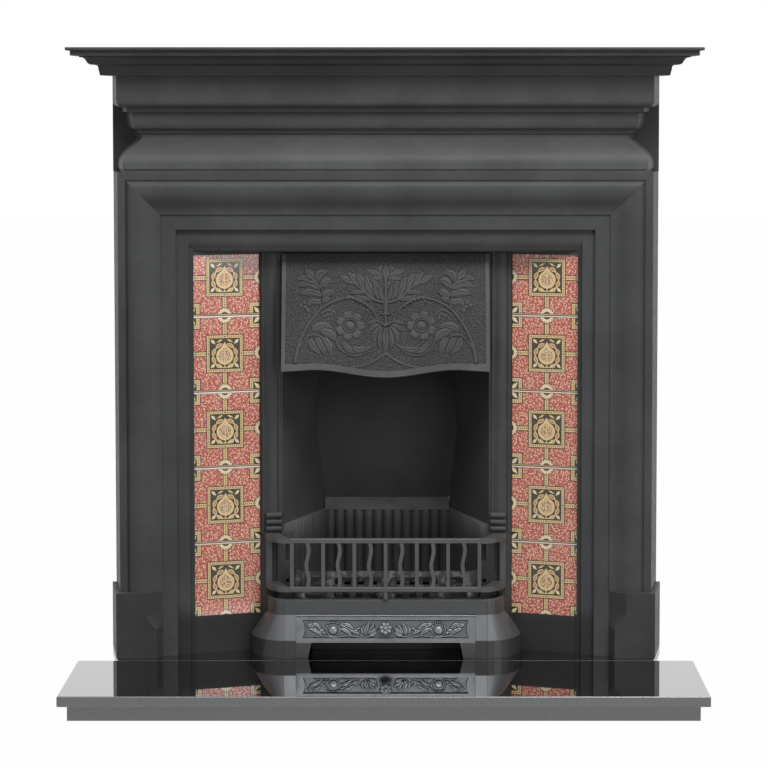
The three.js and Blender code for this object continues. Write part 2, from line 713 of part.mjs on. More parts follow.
// Upper and lower arm on a strip; the lower has a tongue behind the end post of the bars.
function grateArm() {
  const low = BARS_BASE + RAIL_HEIGHT;
  const seat = GRATE_JAMB_DEPTH + CLEARANCE;
  return join(
    upright(armPlan(), barsTop - RAIL_HEIGHT, barsTop, 4),
    upright(armPlan(), BARS_BASE, low, 4),
    block(barsHalf - BAR_WIDTH, barsHalf + BAR_WIDTH, tongueFront - TONGUE_THICKNESS, tongueFront,
      BARS_BASE, low),
    block(jambOuter - ARM_STRIP_WIDTH, jambOuter, seat, seat + ARM_STRIP_THICKNESS,
      BARS_BASE, barsTop),
  );
}

function soffitPanel() {
  const front = INSERT_FACE_DEPTH;
  const panel = across(outline([
    [front, insertTop],
    [front - SOFFIT_NOSE_RUN, insertTop - SOFFIT_NOSE_DROP],
    [SPLAY_OUTER_DEPTH, soffitOuter],
    [pilasterBack, soffitInner],
    [pilasterBack, soffitInner + IRON_WALL],
    [SPLAY_OUTER_DEPTH, soffitOuter + IRON_WALL],
    [front - INSERT_PLATE, insertTop + IRON_WALL],
    [front, insertTop + IRON_WALL],
  ]), -insertHalf - REBATE_WIDTH, insertHalf + REBATE_WIDTH);
  const [outerHalf, outerDepth] = splayPoint(TILE_SHIFT + tileHalf, TILE_LIP);
  const [innerHalf, innerDepth] = splayPoint(-splayLength / 2 - REBATE_WIDTH, TILE_LIP);
  const plan = outline([
    [-insertHalf - REBATE_WIDTH, front], [-insertHalf - REBATE_WIDTH, outerDepth],
    [-outerHalf, outerDepth], [-innerHalf, innerDepth], [innerHalf, innerDepth],
    [outerHalf, outerDepth], [insertHalf + REBATE_WIDTH, outerDepth],
    [insertHalf + REBATE_WIDTH, front],
  ]);
  return common(panel, upright(plan, 0, MANTEL_HEIGHT));
}

function insertSide() {
  const top = OPENING_HEIGHT + INSERT_LAP;
  const face = INSERT_FACE_DEPTH;
  const border = block(insertHalf, openingHalf + INSERT_LAP, face - INSERT_PLATE, face, 0, top);
  const ledge = block(splayOuterHalf, insertHalf + REBATE_WIDTH,
    face - REBATE_DEPTH - PILASTER_PLATE, face - REBATE_DEPTH, 0, insertTop);
  const step = block(insertHalf, insertHalf + REBATE_WIDTH,
    face - REBATE_DEPTH - INSERT_PLATE, face, 0, insertTop);
  const panel = splayBlock(-splayLength / 2 - IRON_WALL, splayLength / 2 + INSERT_PLATE,
    0, SPLAY_PLATE, 0, soffitOuter + IRON_WALL);
  const pilaster = upright(pilasterSection(), collarBase - 1,
    soffitInner + IRON_WALL, 4);
  const jamb = upright(grateJambSection(), 0, collarBase, 4);
  const pocket = splayBlock(TILE_SHIFT - tileHalf, TILE_SHIFT + tileHalf, TILE_LIP, SPLAY_PLATE * 2,
    tileBase - TILE_JOINT, insertTop + IRON_WALL);
  const window = splayBlock(-splayLength / 2, splayLength / 2, -TILE_LIP, SPLAY_PLATE,
    tileBase + TILE_REST, soffitOuter - IRON_WALL);
  const slot = block(GRATE_JAMB_HALF - 1, GRATE_JAMB_HALF + PEG_SLOT_WIDTH,
    pilasterBack - PILASTER_PLATE, GRATE_JAMB_DEPTH + 1,
    PEG_SLOT_BASE, PEG_SLOT_BASE + PEG_SLOT_HEIGHT);
  const holeAt = GRATE_JAMB_HALF + 2 * SMALL_HOLE_RADIUS;
  const holeZ = BARS_BASE + RAIL_HEIGHT;
  const hole = rod(SMALL_HOLE_RADIUS, [holeAt, -pilasterBack + IRON_WALL, holeZ],
    [holeAt, -GRATE_JAMB_DEPTH - IRON_WALL, holeZ]);
  const boltZ = hoodBoltHeight();
  const boltHole = rod(HOOD_BOLT_RADIUS + CLEARANCE, [fireHalf - IRON_WALL, -hoodBoltDepth(), boltZ],
    [fireHalf + HOOD_BOLT_REACH + 2, -hoodBoltDepth(), boltZ], 12);
  const solid = join(border, step, ledge, panel, pilaster, jamb, ...collarReeds());
  return cut(solid, pocket, window, slot, hole, boltHole);
}

function collarReeds() {
  const reeds = [];
  for (let i = 0; i < COLLAR_REEDS; i += 1) {
    const z = collarBase + (i + 0.5) * COLLAR_REED;
    const depth = GRATE_JAMB_DEPTH;
    reeds.push(rod(COLLAR_REED_RADIUS, [COLLAR_INNER_HALF, -depth, z],
      [COLLAR_OUTER_HALF, -depth, z], 12));
  }
  reeds.push(block(COLLAR_INNER_HALF, COLLAR_OUTER_HALF, pilasterBack + INSERT_PLATE, GRATE_JAMB_DEPTH - 1,
    collarBase - 1, collarBase + COLLAR_REEDS * COLLAR_REED));
  return reeds;
}

function buildInsertFront() {
  const side = insertSide();
  const top = block(-openingHalf - INSERT_LAP, openingHalf + INSERT_LAP,
    INSERT_FACE_DEPTH - INSERT_PLATE, INSERT_FACE_DEPTH,
    insertTop, OPENING_HEIGHT + INSERT_LAP);
  const smokePlate = block(-fireHalf - INSERT_PLATE, fireHalf + INSERT_PLATE,
    pilasterBack - INSERT_PLATE, pilasterBack,
    THROAT_HEIGHT + THROAT_PLATE + CLEARANCE, soffitInner + IRON_WALL);
  const front = join(side, mirrored(side), top, soffitPanel(), smokePlate);
  add('insert_front', front, matIron);
}

function buildTiles() {
  const half = (TILE_SIZE - TILE_JOINT) / 2;
  for (const [side, sign] of SIDES) {
    for (let row = 0; row < TILE_COUNT; row += 1) {
      const base = tileBase + row * TILE_SIZE;
      const tile = splayBlock(TILE_SHIFT - half, TILE_SHIFT + half, TILE_LIP + CLEARANCE,
        TILE_LIP + TILE_THICKNESS, base, base + 2 * half);
      add(`${side}_tile_${row + 1}`, onSide(sign, tile), glazedTile);
    }
    const plate = splayBlock(-splayLength / 2, splayLength / 2,
      SPLAY_PLATE + CLEARANCE, SPLAY_PLATE + RETAINER_THICKNESS + CLEARANCE,
      tileBase - IRON_WALL * 2, insertTop - IRON_WALL);
    add(`${side}_tile_retainer`, onSide(sign, plate), sheetSteel);
  }
}

// ---------------------------------------------------------------- hood
const hoodTop = () => soffitInner - CLEARANCE;
const hoodBoltHeight = () => hoodTop() - HOOD_BOLT_DROP;
const hoodBoltDepth = () => pilasterBack + PILASTER_PLATE / 2;

// The hood leans forward: v runs down its face from the top, n in front of its back plane.
function hoodPoint(x, v, n) {
  const length = Math.hypot(HOOD_LEAN, HOOD_HEIGHT);
  const [lean, fall] = [HOOD_LEAN / length, HOOD_HEIGHT / length];
  const depth = HOOD_TOP_DEPTH - HOOD_PLATE + v * lean + n * fall;
  return [x, -depth, hoodTop() - v * fall + n * lean - HOOD_PLATE * lean];
}

// How far down the face its serpentine lower edge lies: lowest at the middle and the ends.
function hoodEdge(x, half) {
  const length = Math.hypot(HOOD_LEAN, HOOD_HEIGHT);
  const t = Math.abs(x) / half;
  const wave = HOOD_DROP * Math.cos(Math.PI * Math.min(1, t / HOOD_WAVE_SHARE)) / 2;
  const tail = HOOD_WAVE * Math.max(0, t - HOOD_WAVE_SHARE) / (1 - HOOD_WAVE_SHARE);
  return length + wave + tail;
}

function hoodBand(half, from, to, n1) {
  const steps = 20;
  const points = [];
  for (let i = 0; i <= steps; i += 1) {
    const x = half * (2 * i / steps - 1);
    points.push([x, to(x)]);
  }
  for (let i = steps; i >= 0; i -= 1) {
    const x = half * (2 * i / steps - 1);
    points.push([x, from(x)]);
  }
  return sweep(outline(points), 2, (x, v, k) => hoodPoint(x, v, k ? n1 : 0));
}

function buildHood() {
  const half = fireHalf - CLEARANCE;
  const edge = (x) => hoodEdge(x, half);
  const ledge = (x) => hoodEdge(x, half) - HOOD_LIP;
  const zero = () => 0;
  const face = hoodBand(half, zero, edge, HOOD_PLATE);
  const lip = hoodBand(half, ledge, edge, HOOD_PLATE + HOOD_RAISE);
  const length = Math.hypot(HOOD_LEAN, HOOD_HEIGHT);
  const sides = SIDES.map(([, sign]) => sweep(
    rectangle(half - HOOD_BORDER, half, 0, length - HOOD_LIP), 2,
    (x, v, k) => hoodPoint(sign * x, v, k ? HOOD_PLATE + HOOD_RAISE : 0),
  ));
  const low = hoodPoint(0, length - HOOD_LIP, HOOD_PLATE / 2);
  const high = hoodPoint(0, HOOD_PLATE, HOOD_PLATE / 2);
  const back = pilasterBack + CLEARANCE;
  const cheek = outline([
    [back, high[2]], [-high[1], high[2]], [-low[1], low[2]], [back, low[2]],
  ]);
  const returns = SIDES.map(([, sign]) => across(cheek, sign * (half - HOOD_PLATE), sign * half));
  const bolts = SIDES.map(([, sign]) => rod(HOOD_BOLT_RADIUS + CLEARANCE,
    [sign * (half - 2 * HOOD_PLATE), -hoodBoltDepth(), hoodBoltHeight()],
    [sign * (half + HOOD_PLATE), -hoodBoltDepth(), hoodBoltHeight()], 12));
  add('hood', cut(join(face, lip, ...sides, ...returns), ...bolts), matIron);
  for (const [side, sign] of SIDES) {
    const at = (x) => [sign * x, -hoodBoltDepth(), hoodBoltHeight()];
    const seat = half - HOOD_PLATE - CLEARANCE;
    const shank = rod(HOOD_BOLT_RADIUS, at(seat - 1), at(fireHalf + HOOD_BOLT_REACH), 12);
    const head = rod(HOOD_BOLT_HEAD_RADIUS, at(seat - HOOD_BOLT_HEAD), at(seat), 6);
    add(`${side}_hood_bolt`, join(shank, head), sheetSteel);
  }
}

// ---------------------------------------------------------------- firebox
const brickFront = cheekFront;
const sideSlope = (GRATE_JAMB_HALF - FIREBOX_REAR_HALF) / (brickFront + FIREBOX_DEPTH);
const cheekRear = FIREBOX_DEPTH + LEDGE_RUN;
const cheekSlope = (fireHalf - FIREBOX_REAR_HALF) / (cheekFront + cheekRear);
const cheekPlane = (depth) => FIREBOX_REAR_HALF + (depth + cheekRear) * cheekSlope;
const cheekHalf = (depth) => CLEARANCE + cheekPlane(Math.max(depth, -cheekRear));

// Adds grooved reeds to a section, bulging to the left of the way from one point to the other.
function reeds(section, from, to, count, side) {
  const [dx, dy] = [(to[0] - from[0]) / count, (to[1] - from[1]) / count];
  const length = Math.hypot(dx, dy);
  const [nx, ny] = [-dy / length * side, dx / length * side];
  const at = (i, rise) => [from[0] + dx * i + nx * rise, from[1] + dy * i + ny * rise];
  for (let i = 0; i < count; i += 1) {
    section.lineTo(...at(i + REED_GROOVE_SHARE, 0));
    section.quadraticCurveTo(...at(i + 0.5, 2 * REED_BULGE), ...at(i + 1 - REED_GROOVE_SHARE, 0));
    section.lineTo(...at(i + 1, i < count - 1 ? -REED_GROOVE : 0));
  }
}

function sideBrick() {
  const front = [GRATE_JAMB_HALF + REED_BULGE, brickFront];
  const rear = [FIREBOX_REAR_HALF + REED_BULGE, -FIREBOX_DEPTH];
  const inner = FIREBOX_REAR_HALF + CLEARANCE;
  const s = new THREE.Shape();
  s.moveTo(...rear);
  reeds(s, rear, front, SIDE_REEDS, 1);
  s.lineTo(front[0] + BRICK_THICKNESS, brickFront);
  s.lineTo(rear[0] + BRICK_THICKNESS, -fireboxRear);
  s.lineTo(inner, -fireboxRear);
  s.lineTo(inner, -FIREBOX_DEPTH);
  const foot = outline([
    [GRATE_JAMB_HALF - BRICK_LEDGE_WIDTH, brickFront],
    [front[0] + BRICK_THICKNESS, brickFront],
    [rear[0] + BRICK_THICKNESS, -fireboxRear],
    [inner, -fireboxRear],
    [inner, -FIREBOX_DEPTH + BRICK_LEDGE_WIDTH + CLEARANCE],
    [FIREBOX_REAR_HALF - BRICK_LEDGE_WIDTH + BRICK_EASE,
      -FIREBOX_DEPTH + BRICK_LEDGE_WIDTH + CLEARANCE],
  ]);
  return join(upright(s, BRICK_LEDGE - 1, BRICK_HEIGHT, 3), upright(foot, 0, BRICK_LEDGE));
}

function backBrick() {
  const half = FIREBOX_REAR_HALF;
  const s = new THREE.Shape();
  s.moveTo(half, -FIREBOX_DEPTH - REED_BULGE);
  reeds(s, [half, -FIREBOX_DEPTH - REED_BULGE], [-half, -FIREBOX_DEPTH - REED_BULGE],
    BACK_REEDS, -1);
  s.lineTo(-half, -fireboxRear);
  s.lineTo(half, -fireboxRear);
  const foot = rectangle(-half, half, -fireboxRear, -FIREBOX_DEPTH + BRICK_LEDGE_WIDTH);
  const ledge = outline([
    [-FIREBOX_DEPTH, BRICK_HEIGHT], [-FIREBOX_DEPTH - LEDGE_RUN, BRICK_HEIGHT + LEDGE_RISE],
    [-fireboxRear, BRICK_HEIGHT + LEDGE_RISE], [-fireboxRear, BRICK_HEIGHT - BRICK_EASE],
    [-FIREBOX_DEPTH, BRICK_HEIGHT - BRICK_EASE],
  ]);
  return join(upright(s, BRICK_LEDGE - 1, BRICK_HEIGHT - 1, 3), upright(foot, 0, BRICK_LEDGE),
    across(ledge, -half, half));
}

function buildFirebox() {
  add('back_brick', backBrick(), brickIron);
  const brick = sideBrick();
  const cheek = upright(outline([
    [cheekHalf(cheekFront), cheekFront], [cheekHalf(cheekFront) + CHEEK_PLATE, cheekFront],
    [cheekHalf(-cheekRear) + CHEEK_PLATE, -cheekRear],
    [cheekHalf(-cheekRear) + CHEEK_PLATE, -fireboxRear],
    [cheekHalf(-cheekRear), -fireboxRear], [cheekHalf(-cheekRear), -cheekRear],
  ]), BRICK_HEIGHT + CLEARANCE, THROAT_HEIGHT);
  for (const [side, sign] of SIDES) {
    add(`${side}_brick`, onSide(sign, brick), brickIron);
    add(`${side}_cheek`, onSide(sign, cheek), matIron);
  }
  add('fireback', fireback(), matIron);
}

// Folded plate: leans forward to the knee, then back to the throat.
function fireback() {
  const base = BRICK_HEIGHT + LEDGE_RISE + CLEARANCE;
  const foot = -FIREBOX_DEPTH - LEDGE_RUN;
  const knee = foot + KNEE_LEAN;
  const top = knee - THROAT_LEAN;
  const section = outline([
    [foot, base], [knee, KNEE_HEIGHT], [top, THROAT_HEIGHT],
    [top - IRON_WALL, THROAT_HEIGHT], [knee - IRON_WALL, KNEE_HEIGHT], [foot - IRON_WALL, base],
  ]);
  return sweep(section, 2, (depth, z, k) => [
    (k ? 1 : -1) * cheekPlane(depth), -depth, z,
  ]);
}

const flueFront = -FLUE_SETBACK;
const flueRear = flueFront - FLUE_DEPTH;
const damperPinDepth = flueRear - DAMPER_BARREL_RADIUS - DAMPER_PIN_GAP;
const damperPinHeight = THROAT_HEIGHT + THROAT_PLATE + DAMPER_BARREL_RADIUS + 2 * CLEARANCE;

function buildThroat() {
  const lap = THROAT_LAP;
  const plan = outline([
    [cheekHalf(cheekFront) + lap, cheekFront], [cheekHalf(-fireboxRear) + lap, -fireboxRear],
    [-cheekHalf(-fireboxRear) - lap, -fireboxRear], [-cheekHalf(cheekFront) - lap, cheekFront],
  ]);
  plan.holes.push(rectangle(-FLUE_WIDTH / 2, FLUE_WIDTH / 2, flueRear, flueFront));
  const plate = upright(plan, THROAT_HEIGHT, THROAT_HEIGHT + THROAT_PLATE);
  const earIn = FLUE_WIDTH / 2 + DAMPER_LAP + 1;
  const earOut = earIn + THROAT_PLATE;
  const pinEnd = earOut + DAMPER_PIN_END;
  const [y, z] = [-damperPinDepth, damperPinHeight];
  const ears = SIDES.map(([, sign]) => block(sign * earIn, sign * earOut,
    damperPinDepth - DAMPER_BARREL_RADIUS, damperPinDepth + DAMPER_BARREL_RADIUS,
    THROAT_HEIGHT + 1, damperPinHeight + DAMPER_BARREL_RADIUS));
  const bore = rod(DAMPER_PIN_RADIUS + CLEARANCE, [-pinEnd - 1, y, z], [pinEnd + 1, y, z]);
  add('throat_plate', cut(join(plate, ...ears), bore), matIron);
  add('damper_pin', rod(DAMPER_PIN_RADIUS, [-pinEnd, y, z], [pinEnd, y, z]), sheetSteel);
  const barrelHalf = earIn - 1;
  const base = THROAT_HEIGHT + THROAT_PLATE + CLEARANCE;
  const flap = join(
    rod(DAMPER_BARREL_RADIUS, [-barrelHalf, y, z], [barrelHalf, y, z]),
    block(-barrelHalf, barrelHalf, damperPinDepth + 2, flueFront + DAMPER_LAP,
      base, base + DAMPER_PLATE),
  );
  add('damper_flap', cut(flap, bore), matIron);
}

// ---------------------------------------------------------------- grate and ash pit
function gratePlan(inset) {
  const front = APRON_DEPTH - IRON_WALL - GRATE_SETBACK - inset;
  const frontHalf = GRATE_JAMB_HALF - GRATE_GAP - inset;
  const corner = GRATE_CORNER - inset;
  return { front, frontHalf, corner };
}

// Slotted plate on the brick ledges; a low fence stands along its front edge.
function bottomGrate() {
  const { front, frontHalf, corner } = gratePlan(0);
  const rear = GRATE_GAP - FIREBOX_DEPTH;
  const rearHalf = FIREBOX_REAR_HALF - GRATE_GAP;
  const border = GRATE_THICKNESS;
  const plan = new THREE.Shape();
  plan.moveTo(-frontHalf, brickFront);
  plan.lineTo(-frontHalf, front - corner);
  plan.quadraticCurveTo(-frontHalf, front, -frontHalf + corner, front);
  plan.lineTo(frontHalf - corner, front);
  plan.quadraticCurveTo(frontHalf, front, frontHalf, front - corner);
  plan.lineTo(frontHalf, brickFront);
  plan.lineTo(rearHalf, rear);
  plan.lineTo(-rearHalf, rear);
  const z = BRICK_LEDGE + CLEARANCE;
  const top = z + GRATE_THICKNESS;
  const middle = (front + rear) / 2;
  const slots = [];
  for (const [from, to] of [[front - border, middle + border], [middle, rear + border]]) {
    for (let i = 0; i < GRATE_SLOTS; i += 1) {
      const x = (i - (GRATE_SLOTS - 1) / 2) * GRATE_PITCH;
      slots.push(block(x - GRATE_SLOT / 2, x + GRATE_SLOT / 2, to, from, z - 1, top + 1));
    }
  }
  return cut(upright(plan, z, top, 6), ...slots);
}

// Fence round the front of the grate, with a long window on each side of its middle.
function grateFence() {
  const z0 = BRICK_LEDGE + GRATE_THICKNESS + 2 * CLEARANCE;
  const z1 = z0 + FENCE_HEIGHT;
  const turn = 6;
  const whole = sweep(rectangle(0, FENCE_THICKNESS, z0, z1), 2 * turn, (inset, z, k) => {
    const { front, frontHalf, corner } = gratePlan(inset);
    const left = k < turn;
    const step = left ? turn - 1 - k : k - turn;
    const angle = step / (turn - 1) * Math.PI / 2;
    const x = frontHalf - corner + corner * Math.sin(angle);
    return [left ? -x : x, -(front - corner + corner * Math.cos(angle)), z];
  });
  const high = z1 - FENCE_RAIL;
  const low = high - FENCE_WINDOW;
  const end = FENCE_POST_AT - GRATE_SLOT / 2;
  const round = FENCE_WINDOW / 2;
  const window = new THREE.Shape();
  window.moveTo(2 * round, low);
  window.lineTo(end - round, low);
  window.absarc(end - round, low + round, round, -Math.PI / 2, Math.PI / 2);
  window.lineTo(2 * round, high);
  window.absarc(2 * round, low + round, round, Math.PI / 2, 3 * Math.PI / 2);
  const { front, frontHalf, corner } = gratePlan(0);
  const opening = through(window, front - 2 * FENCE_THICKNESS, front + 1, 4);
  const panes = [[FENCE_POST_AT + round, frontHalf - corner, low, high]];
  for (const [x0, x1] of [[2 * round, end], [FENCE_POST_AT + round, frontHalf - corner]]) {
    panes.push([x0, x1, z0 + FENCE_FOOT, low - round]);
  }
  const cuts = [opening];
  for (const pane of panes) {
    cuts.push(through(rectangle(...pane), front - 2 * FENCE_THICKNESS, front + 1));
  }
  return cut(whole, ...cuts, ...cuts.map(mirrored));
}

function rail(z0, z1) {
  const edge = 1.5;
  const [back, front] = [barsBack, BARS_DEPTH];
  return across(outline([
    [back, z0 + edge], [back, z1 - edge], [back + edge, z1], [front - edge, z1],
    [front, z1 - edge], [front, z0 + edge], [front - edge, z0], [back + edge, z0],
  ]), -barsHalf, barsHalf);
}

// Bars are straight and wavy by turns; both end bars are posts the full height of the panel.
function bar(index, last, z0, z1) {
  const x = index * (BARS_WIDTH - BAR_WIDTH) / (2 * last);
  const front = BARS_DEPTH - 0.5;
  const section = rectangle(-BAR_WIDTH / 2, BAR_WIDTH / 2, front - BAR_THICKNESS, front);
  const wavy = Math.abs(index) % 2 === 1;
  const stations = wavy ? 13 : 2;
  return sweep(section, stations, (a, d, k) => {
    const t = k / (stations - 1);
    const sway = wavy ? BAR_WAVE * Math.sin(t * Math.PI * 3) : 0;
    return [x + a + sway, -d, z0 + t * (z1 - z0)];
  });
}

// Removable panel of bars; a hook behind each end post drops over the tongue of the lower arm.
function frontBars() {
  const low = BARS_BASE + RAIL_HEIGHT;
  const pieces = [rail(barsTop - RAIL_HEIGHT, barsTop)];
  const last = (BAR_COUNT - 1) / 2;
  for (let i = -last; i <= last; i += 1) {
    pieces.push(bar(i, last, low - 1, barsTop - RAIL_HEIGHT + 1));
  }
  pieces.push(block(-RAIL_THICKNESS / 2, RAIL_THICKNESS / 2, APRON_DEPTH - RAIL_THICKNESS,
    BARS_DEPTH - 1, APRON_TOP + CLEARANCE, BARS_BASE + 1));
  const hookFront = tongueFront - TONGUE_THICKNESS - CLEARANCE;
  const hookBack = hookFront - HOOK_THICKNESS;
  const hookTop = low + CLEARANCE + HOOK_WIDTH;
  const hookIn = barsHalf - BAR_WIDTH + 1;
  for (const [, sign] of SIDES) {
    const [x0, x1] = [sign * hookIn, sign * (hookIn + HOOK_WIDTH)];
    pieces.push(block(x0, x1, hookBack, barsBack + 1, low + CLEARANCE, hookTop));
    pieces.push(block(x0, x1, hookBack, hookFront, BARS_BASE + RAIL_HEIGHT / 2, hookTop));
  }
  return join(rail(BARS_BASE, low), ...pieces);
}

// Offset outline shared by the apron and its curved ends: offset from the band face, and height.
const skirtOutline = () => outline([
  [0, APRON_BASE + APRON_STEP], [0, APRON_TOP - APRON_ROUND], [-APRON_ROUND, APRON_TOP],
  [-IRON_WALL, APRON_TOP], [-IRON_WALL - APRON_STEP, APRON_BASE],
  [FLARE_DEPTH - IRON_WALL, FLARE_HEIGHT],
  [FLARE_DEPTH - IRON_WALL, 0], [FLARE_DEPTH, 0], [FLARE_DEPTH, FLARE_HEIGHT],
  [-COVER_GAP, APRON_BASE], [0, APRON_BASE],
]);

function apron() {
  const half = APRON_HALF - CLEARANCE;
  const coverHalf = COVER_WIDTH / 2 + CLEARANCE;
  const whole = sweep(skirtOutline(), 2, (offset, z, k) => [
    (k ? 1 : -1) * half, -APRON_DEPTH - offset, z,
  ]);
  return cut(whole, block(-coverHalf, coverHalf, 0, slabFront, -1, APRON_BASE));
}

// The curved ends run back until they meet the grate jambs and the splayed panels.
function grateEnd() {
  const stations = 9;
  const seat = SPLAY_INNER_DEPTH;
  const whole = sweep(skirtOutline(), stations, (offset, z, k) => {
    const angle = k / (stations - 1) * Math.PI / 2;
    const spread = offset > 0 ? offset * FLARE_SPREAD / FLARE_DEPTH : offset;
    return [
      APRON_HALF + (END_SPREAD + spread) * Math.sin(angle),
      -(seat + (APRON_DEPTH - seat + offset) * Math.cos(angle)),
      z,
    ];
  });
  const chamfer = pilasterOuter - jambOuter;
  const face = GRATE_JAMB_DEPTH + CLEARANCE;
  const far = APRON_HALF + END_SPREAD + 2 * FLARE_SPREAD;
  const splayAt = (x) => SPLAY_INNER_DEPTH + (x - SPLAY_INNER_HALF) * splayRise / splayRun;
  const behind = outline([
    [0, 0], [0, face], [jambOuter, face], [jambOuter + chamfer, face - chamfer],
    [SPLAY_INNER_HALF, splayAt(SPLAY_INNER_HALF) + 2 * CLEARANCE],
    [far, splayAt(far) + 2 * CLEARANCE], [far, 0],
  ]);
  return cut(whole, upright(behind, -1, APRON_TOP + 1));
}

const coverFace = (z) => APRON_DEPTH + FLARE_DEPTH - Math.max(0, z - COVER_BASE) * flareSlope;

// Leaning panel on two feet, with a sunk field whose ends are hollowed.
function ashCover() {
  const half = COVER_WIDTH / 2;
  const lean = (x, z, n) => [x, -(coverFace(z) + n), z];
  const panel = sweep(rectangle(-half, half, COVER_BASE, COVER_TOP - CLEARANCE), 2,
    (x, z, k) => lean(x, z, k ? 0 : -COVER_PLATE));
  const field = new THREE.Shape();
  const [low, high] = [COVER_BASE + COVER_BORDER, COVER_TOP - COVER_BORDER - COVER_BEAD];
  const middle = (low + high) / 2;
  const end = half - COVER_END_BORDER;
  field.moveTo(-end, low);
  field.lineTo(end, low);
  field.quadraticCurveTo(end - COVER_HOLLOW, middle, end, high);
  field.lineTo(-end, high);
  field.quadraticCurveTo(-end + COVER_HOLLOW, middle, -end, low);
  const sunk = sweep(field, 2, (x, z, k) => lean(x, z, k ? COVER_SINK : -COVER_SINK));
  const feet = SIDES.map(([, sign]) => through(outline([
    [sign * half, CLEARANCE], [sign * (half - COVER_FOOT), CLEARANCE],
    [sign * (half - COVER_FOOT - COVER_FOOT_SPLAY), COVER_BASE], [sign * half, COVER_BASE],
  ]), coverFace(0) - COVER_PLATE, coverFace(0)));
  const beadHeight = COVER_TOP - CLEARANCE - COVER_BEAD;
  const bead = rod(COVER_BEAD, lean(-half, beadHeight, 0), lean(half, beadHeight, 0), 10);
  const hole = rod(HOOD_BOLT_RADIUS, knobPoint(-COVER_PLATE * 2), knobPoint(COVER_PLATE));
  return cut(join(panel, bead, ...feet), sunk, hole);
}

// A point on the knob's axis, square to the leaning panel; n is in front of its face.
function knobPoint(n) {
  const tilt = Math.atan(flareSlope);
  return [0, -(coverFace(KNOB_HEIGHT) + n * Math.cos(tilt)), KNOB_HEIGHT + n * Math.sin(tilt)];
}

// Turned knob whose head is a small flower: a ring of round petals about a ball.
function coverKnob() {
  const seat = CLEARANCE - COVER_SINK;
  const shank = HOOD_BOLT_RADIUS - CLEARANCE;
  const [neck, foot, head] = [KNOB_NECK_RADIUS, KNOB_FOOT_RADIUS, KNOB_RADIUS];
  const ring = head - PETAL_RADIUS;
  const face = KNOB_REACH - PETAL_RADIUS;
  const points = [
    [0, -COVER_PLATE], [shank, -COVER_PLATE], [shank, seat], [foot, seat],
    [foot, seat + KNOB_STEP], [neck, seat + 2 * KNOB_STEP], [neck, KNOB_REACH / 2],
    [ring, face], [ring, KNOB_REACH - KNOB_STEP], [0, KNOB_REACH - KNOB_STEP],
  ].map(([r, n]) => new THREE.Vector2(r, n));
  const ball = (x, n, z) => new THREE.SphereGeometry(PETAL_RADIUS, 12, 8).translate(x, n, z);
  const petals = [];
  for (let i = 0; i < KNOB_PETALS; i += 1) {
    const angle = i / KNOB_PETALS * 2 * Math.PI;
    petals.push(ball(ring * Math.sin(angle), face, ring * Math.cos(angle)));
  }
  const body = new THREE.LatheGeometry(points, 20);
  const knob = join(body, ball(0, face + KNOB_STEP, 0), ...petals);
  knob.rotateX(Math.PI - Math.atan(flareSlope));
  return knob.translate(...knobPoint(0));
}

function ashPan() {
  const tray = (inset, z0, z1) => upright(outline([
    [-PAN_FRONT_HALF + inset, PAN_FRONT_DEPTH - inset],
    [PAN_FRONT_HALF - inset, PAN_FRONT_DEPTH - inset],
    [PAN_REAR_HALF - inset, PAN_REAR_DEPTH + inset],
    [-PAN_REAR_HALF + inset, PAN_REAR_DEPTH + inset],
  ]), z0, z1);
  return cut(tray(0, CLEARANCE, PAN_HEIGHT), tray(PAN_SHEET, CLEARANCE + PAN_SHEET, PAN_HEIGHT + 1));
}

function panHandle() {
  const [half, strip, reach] = [HANDLE_WIDTH / 2, HANDLE_STRIP, HANDLE_REACH];
  const seat = PAN_FRONT_DEPTH;
  const middle = PAN_HEIGHT / 2;
  return upright(outline([
    [-half, seat], [-half, seat + reach], [half, seat + reach], [half, seat],
    [half - strip, seat], [half - strip, seat + reach - strip],
    [-half + strip, seat + reach - strip], [-half + strip, seat],
  ]), middle - HANDLE_HEIGHT / 2, middle + HANDLE_HEIGHT / 2);
}

function buildGrate() {
  add('bottom_grate', bottomGrate(), matIron);
  add('grate_fence', grateFence(), matIron);
  add('front_bars', frontBars(), matIron);
  add('grate_apron', apron(), polishedIron);
  const end = grateEnd();
  const arm = grateArm();
  for (const [side, sign] of SIDES) {
    add(`${side}_grate_arm`, onSide(sign, arm), matIron);
    add(`${side}_grate_end`, onSide(sign, end), polishedIron);
  }
  add('ash_cover', ashCover(), polishedIron);
  add('cover_knob', coverKnob(), matIron);
  add('ash_pan', ashPan(), sheetSteel);
  add('pan_handle', panHandle(), sheetSteel);
}

buildHearth();
buildFrame();
buildFriezeAndShelf();
buildInsertFront();
buildTiles();
buildHood();
buildFirebox();
buildThroat();
buildGrate();

export default fireplace;
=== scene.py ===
"""Looks of a cast iron fireplace with a tiled insert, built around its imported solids."""
import json
import math

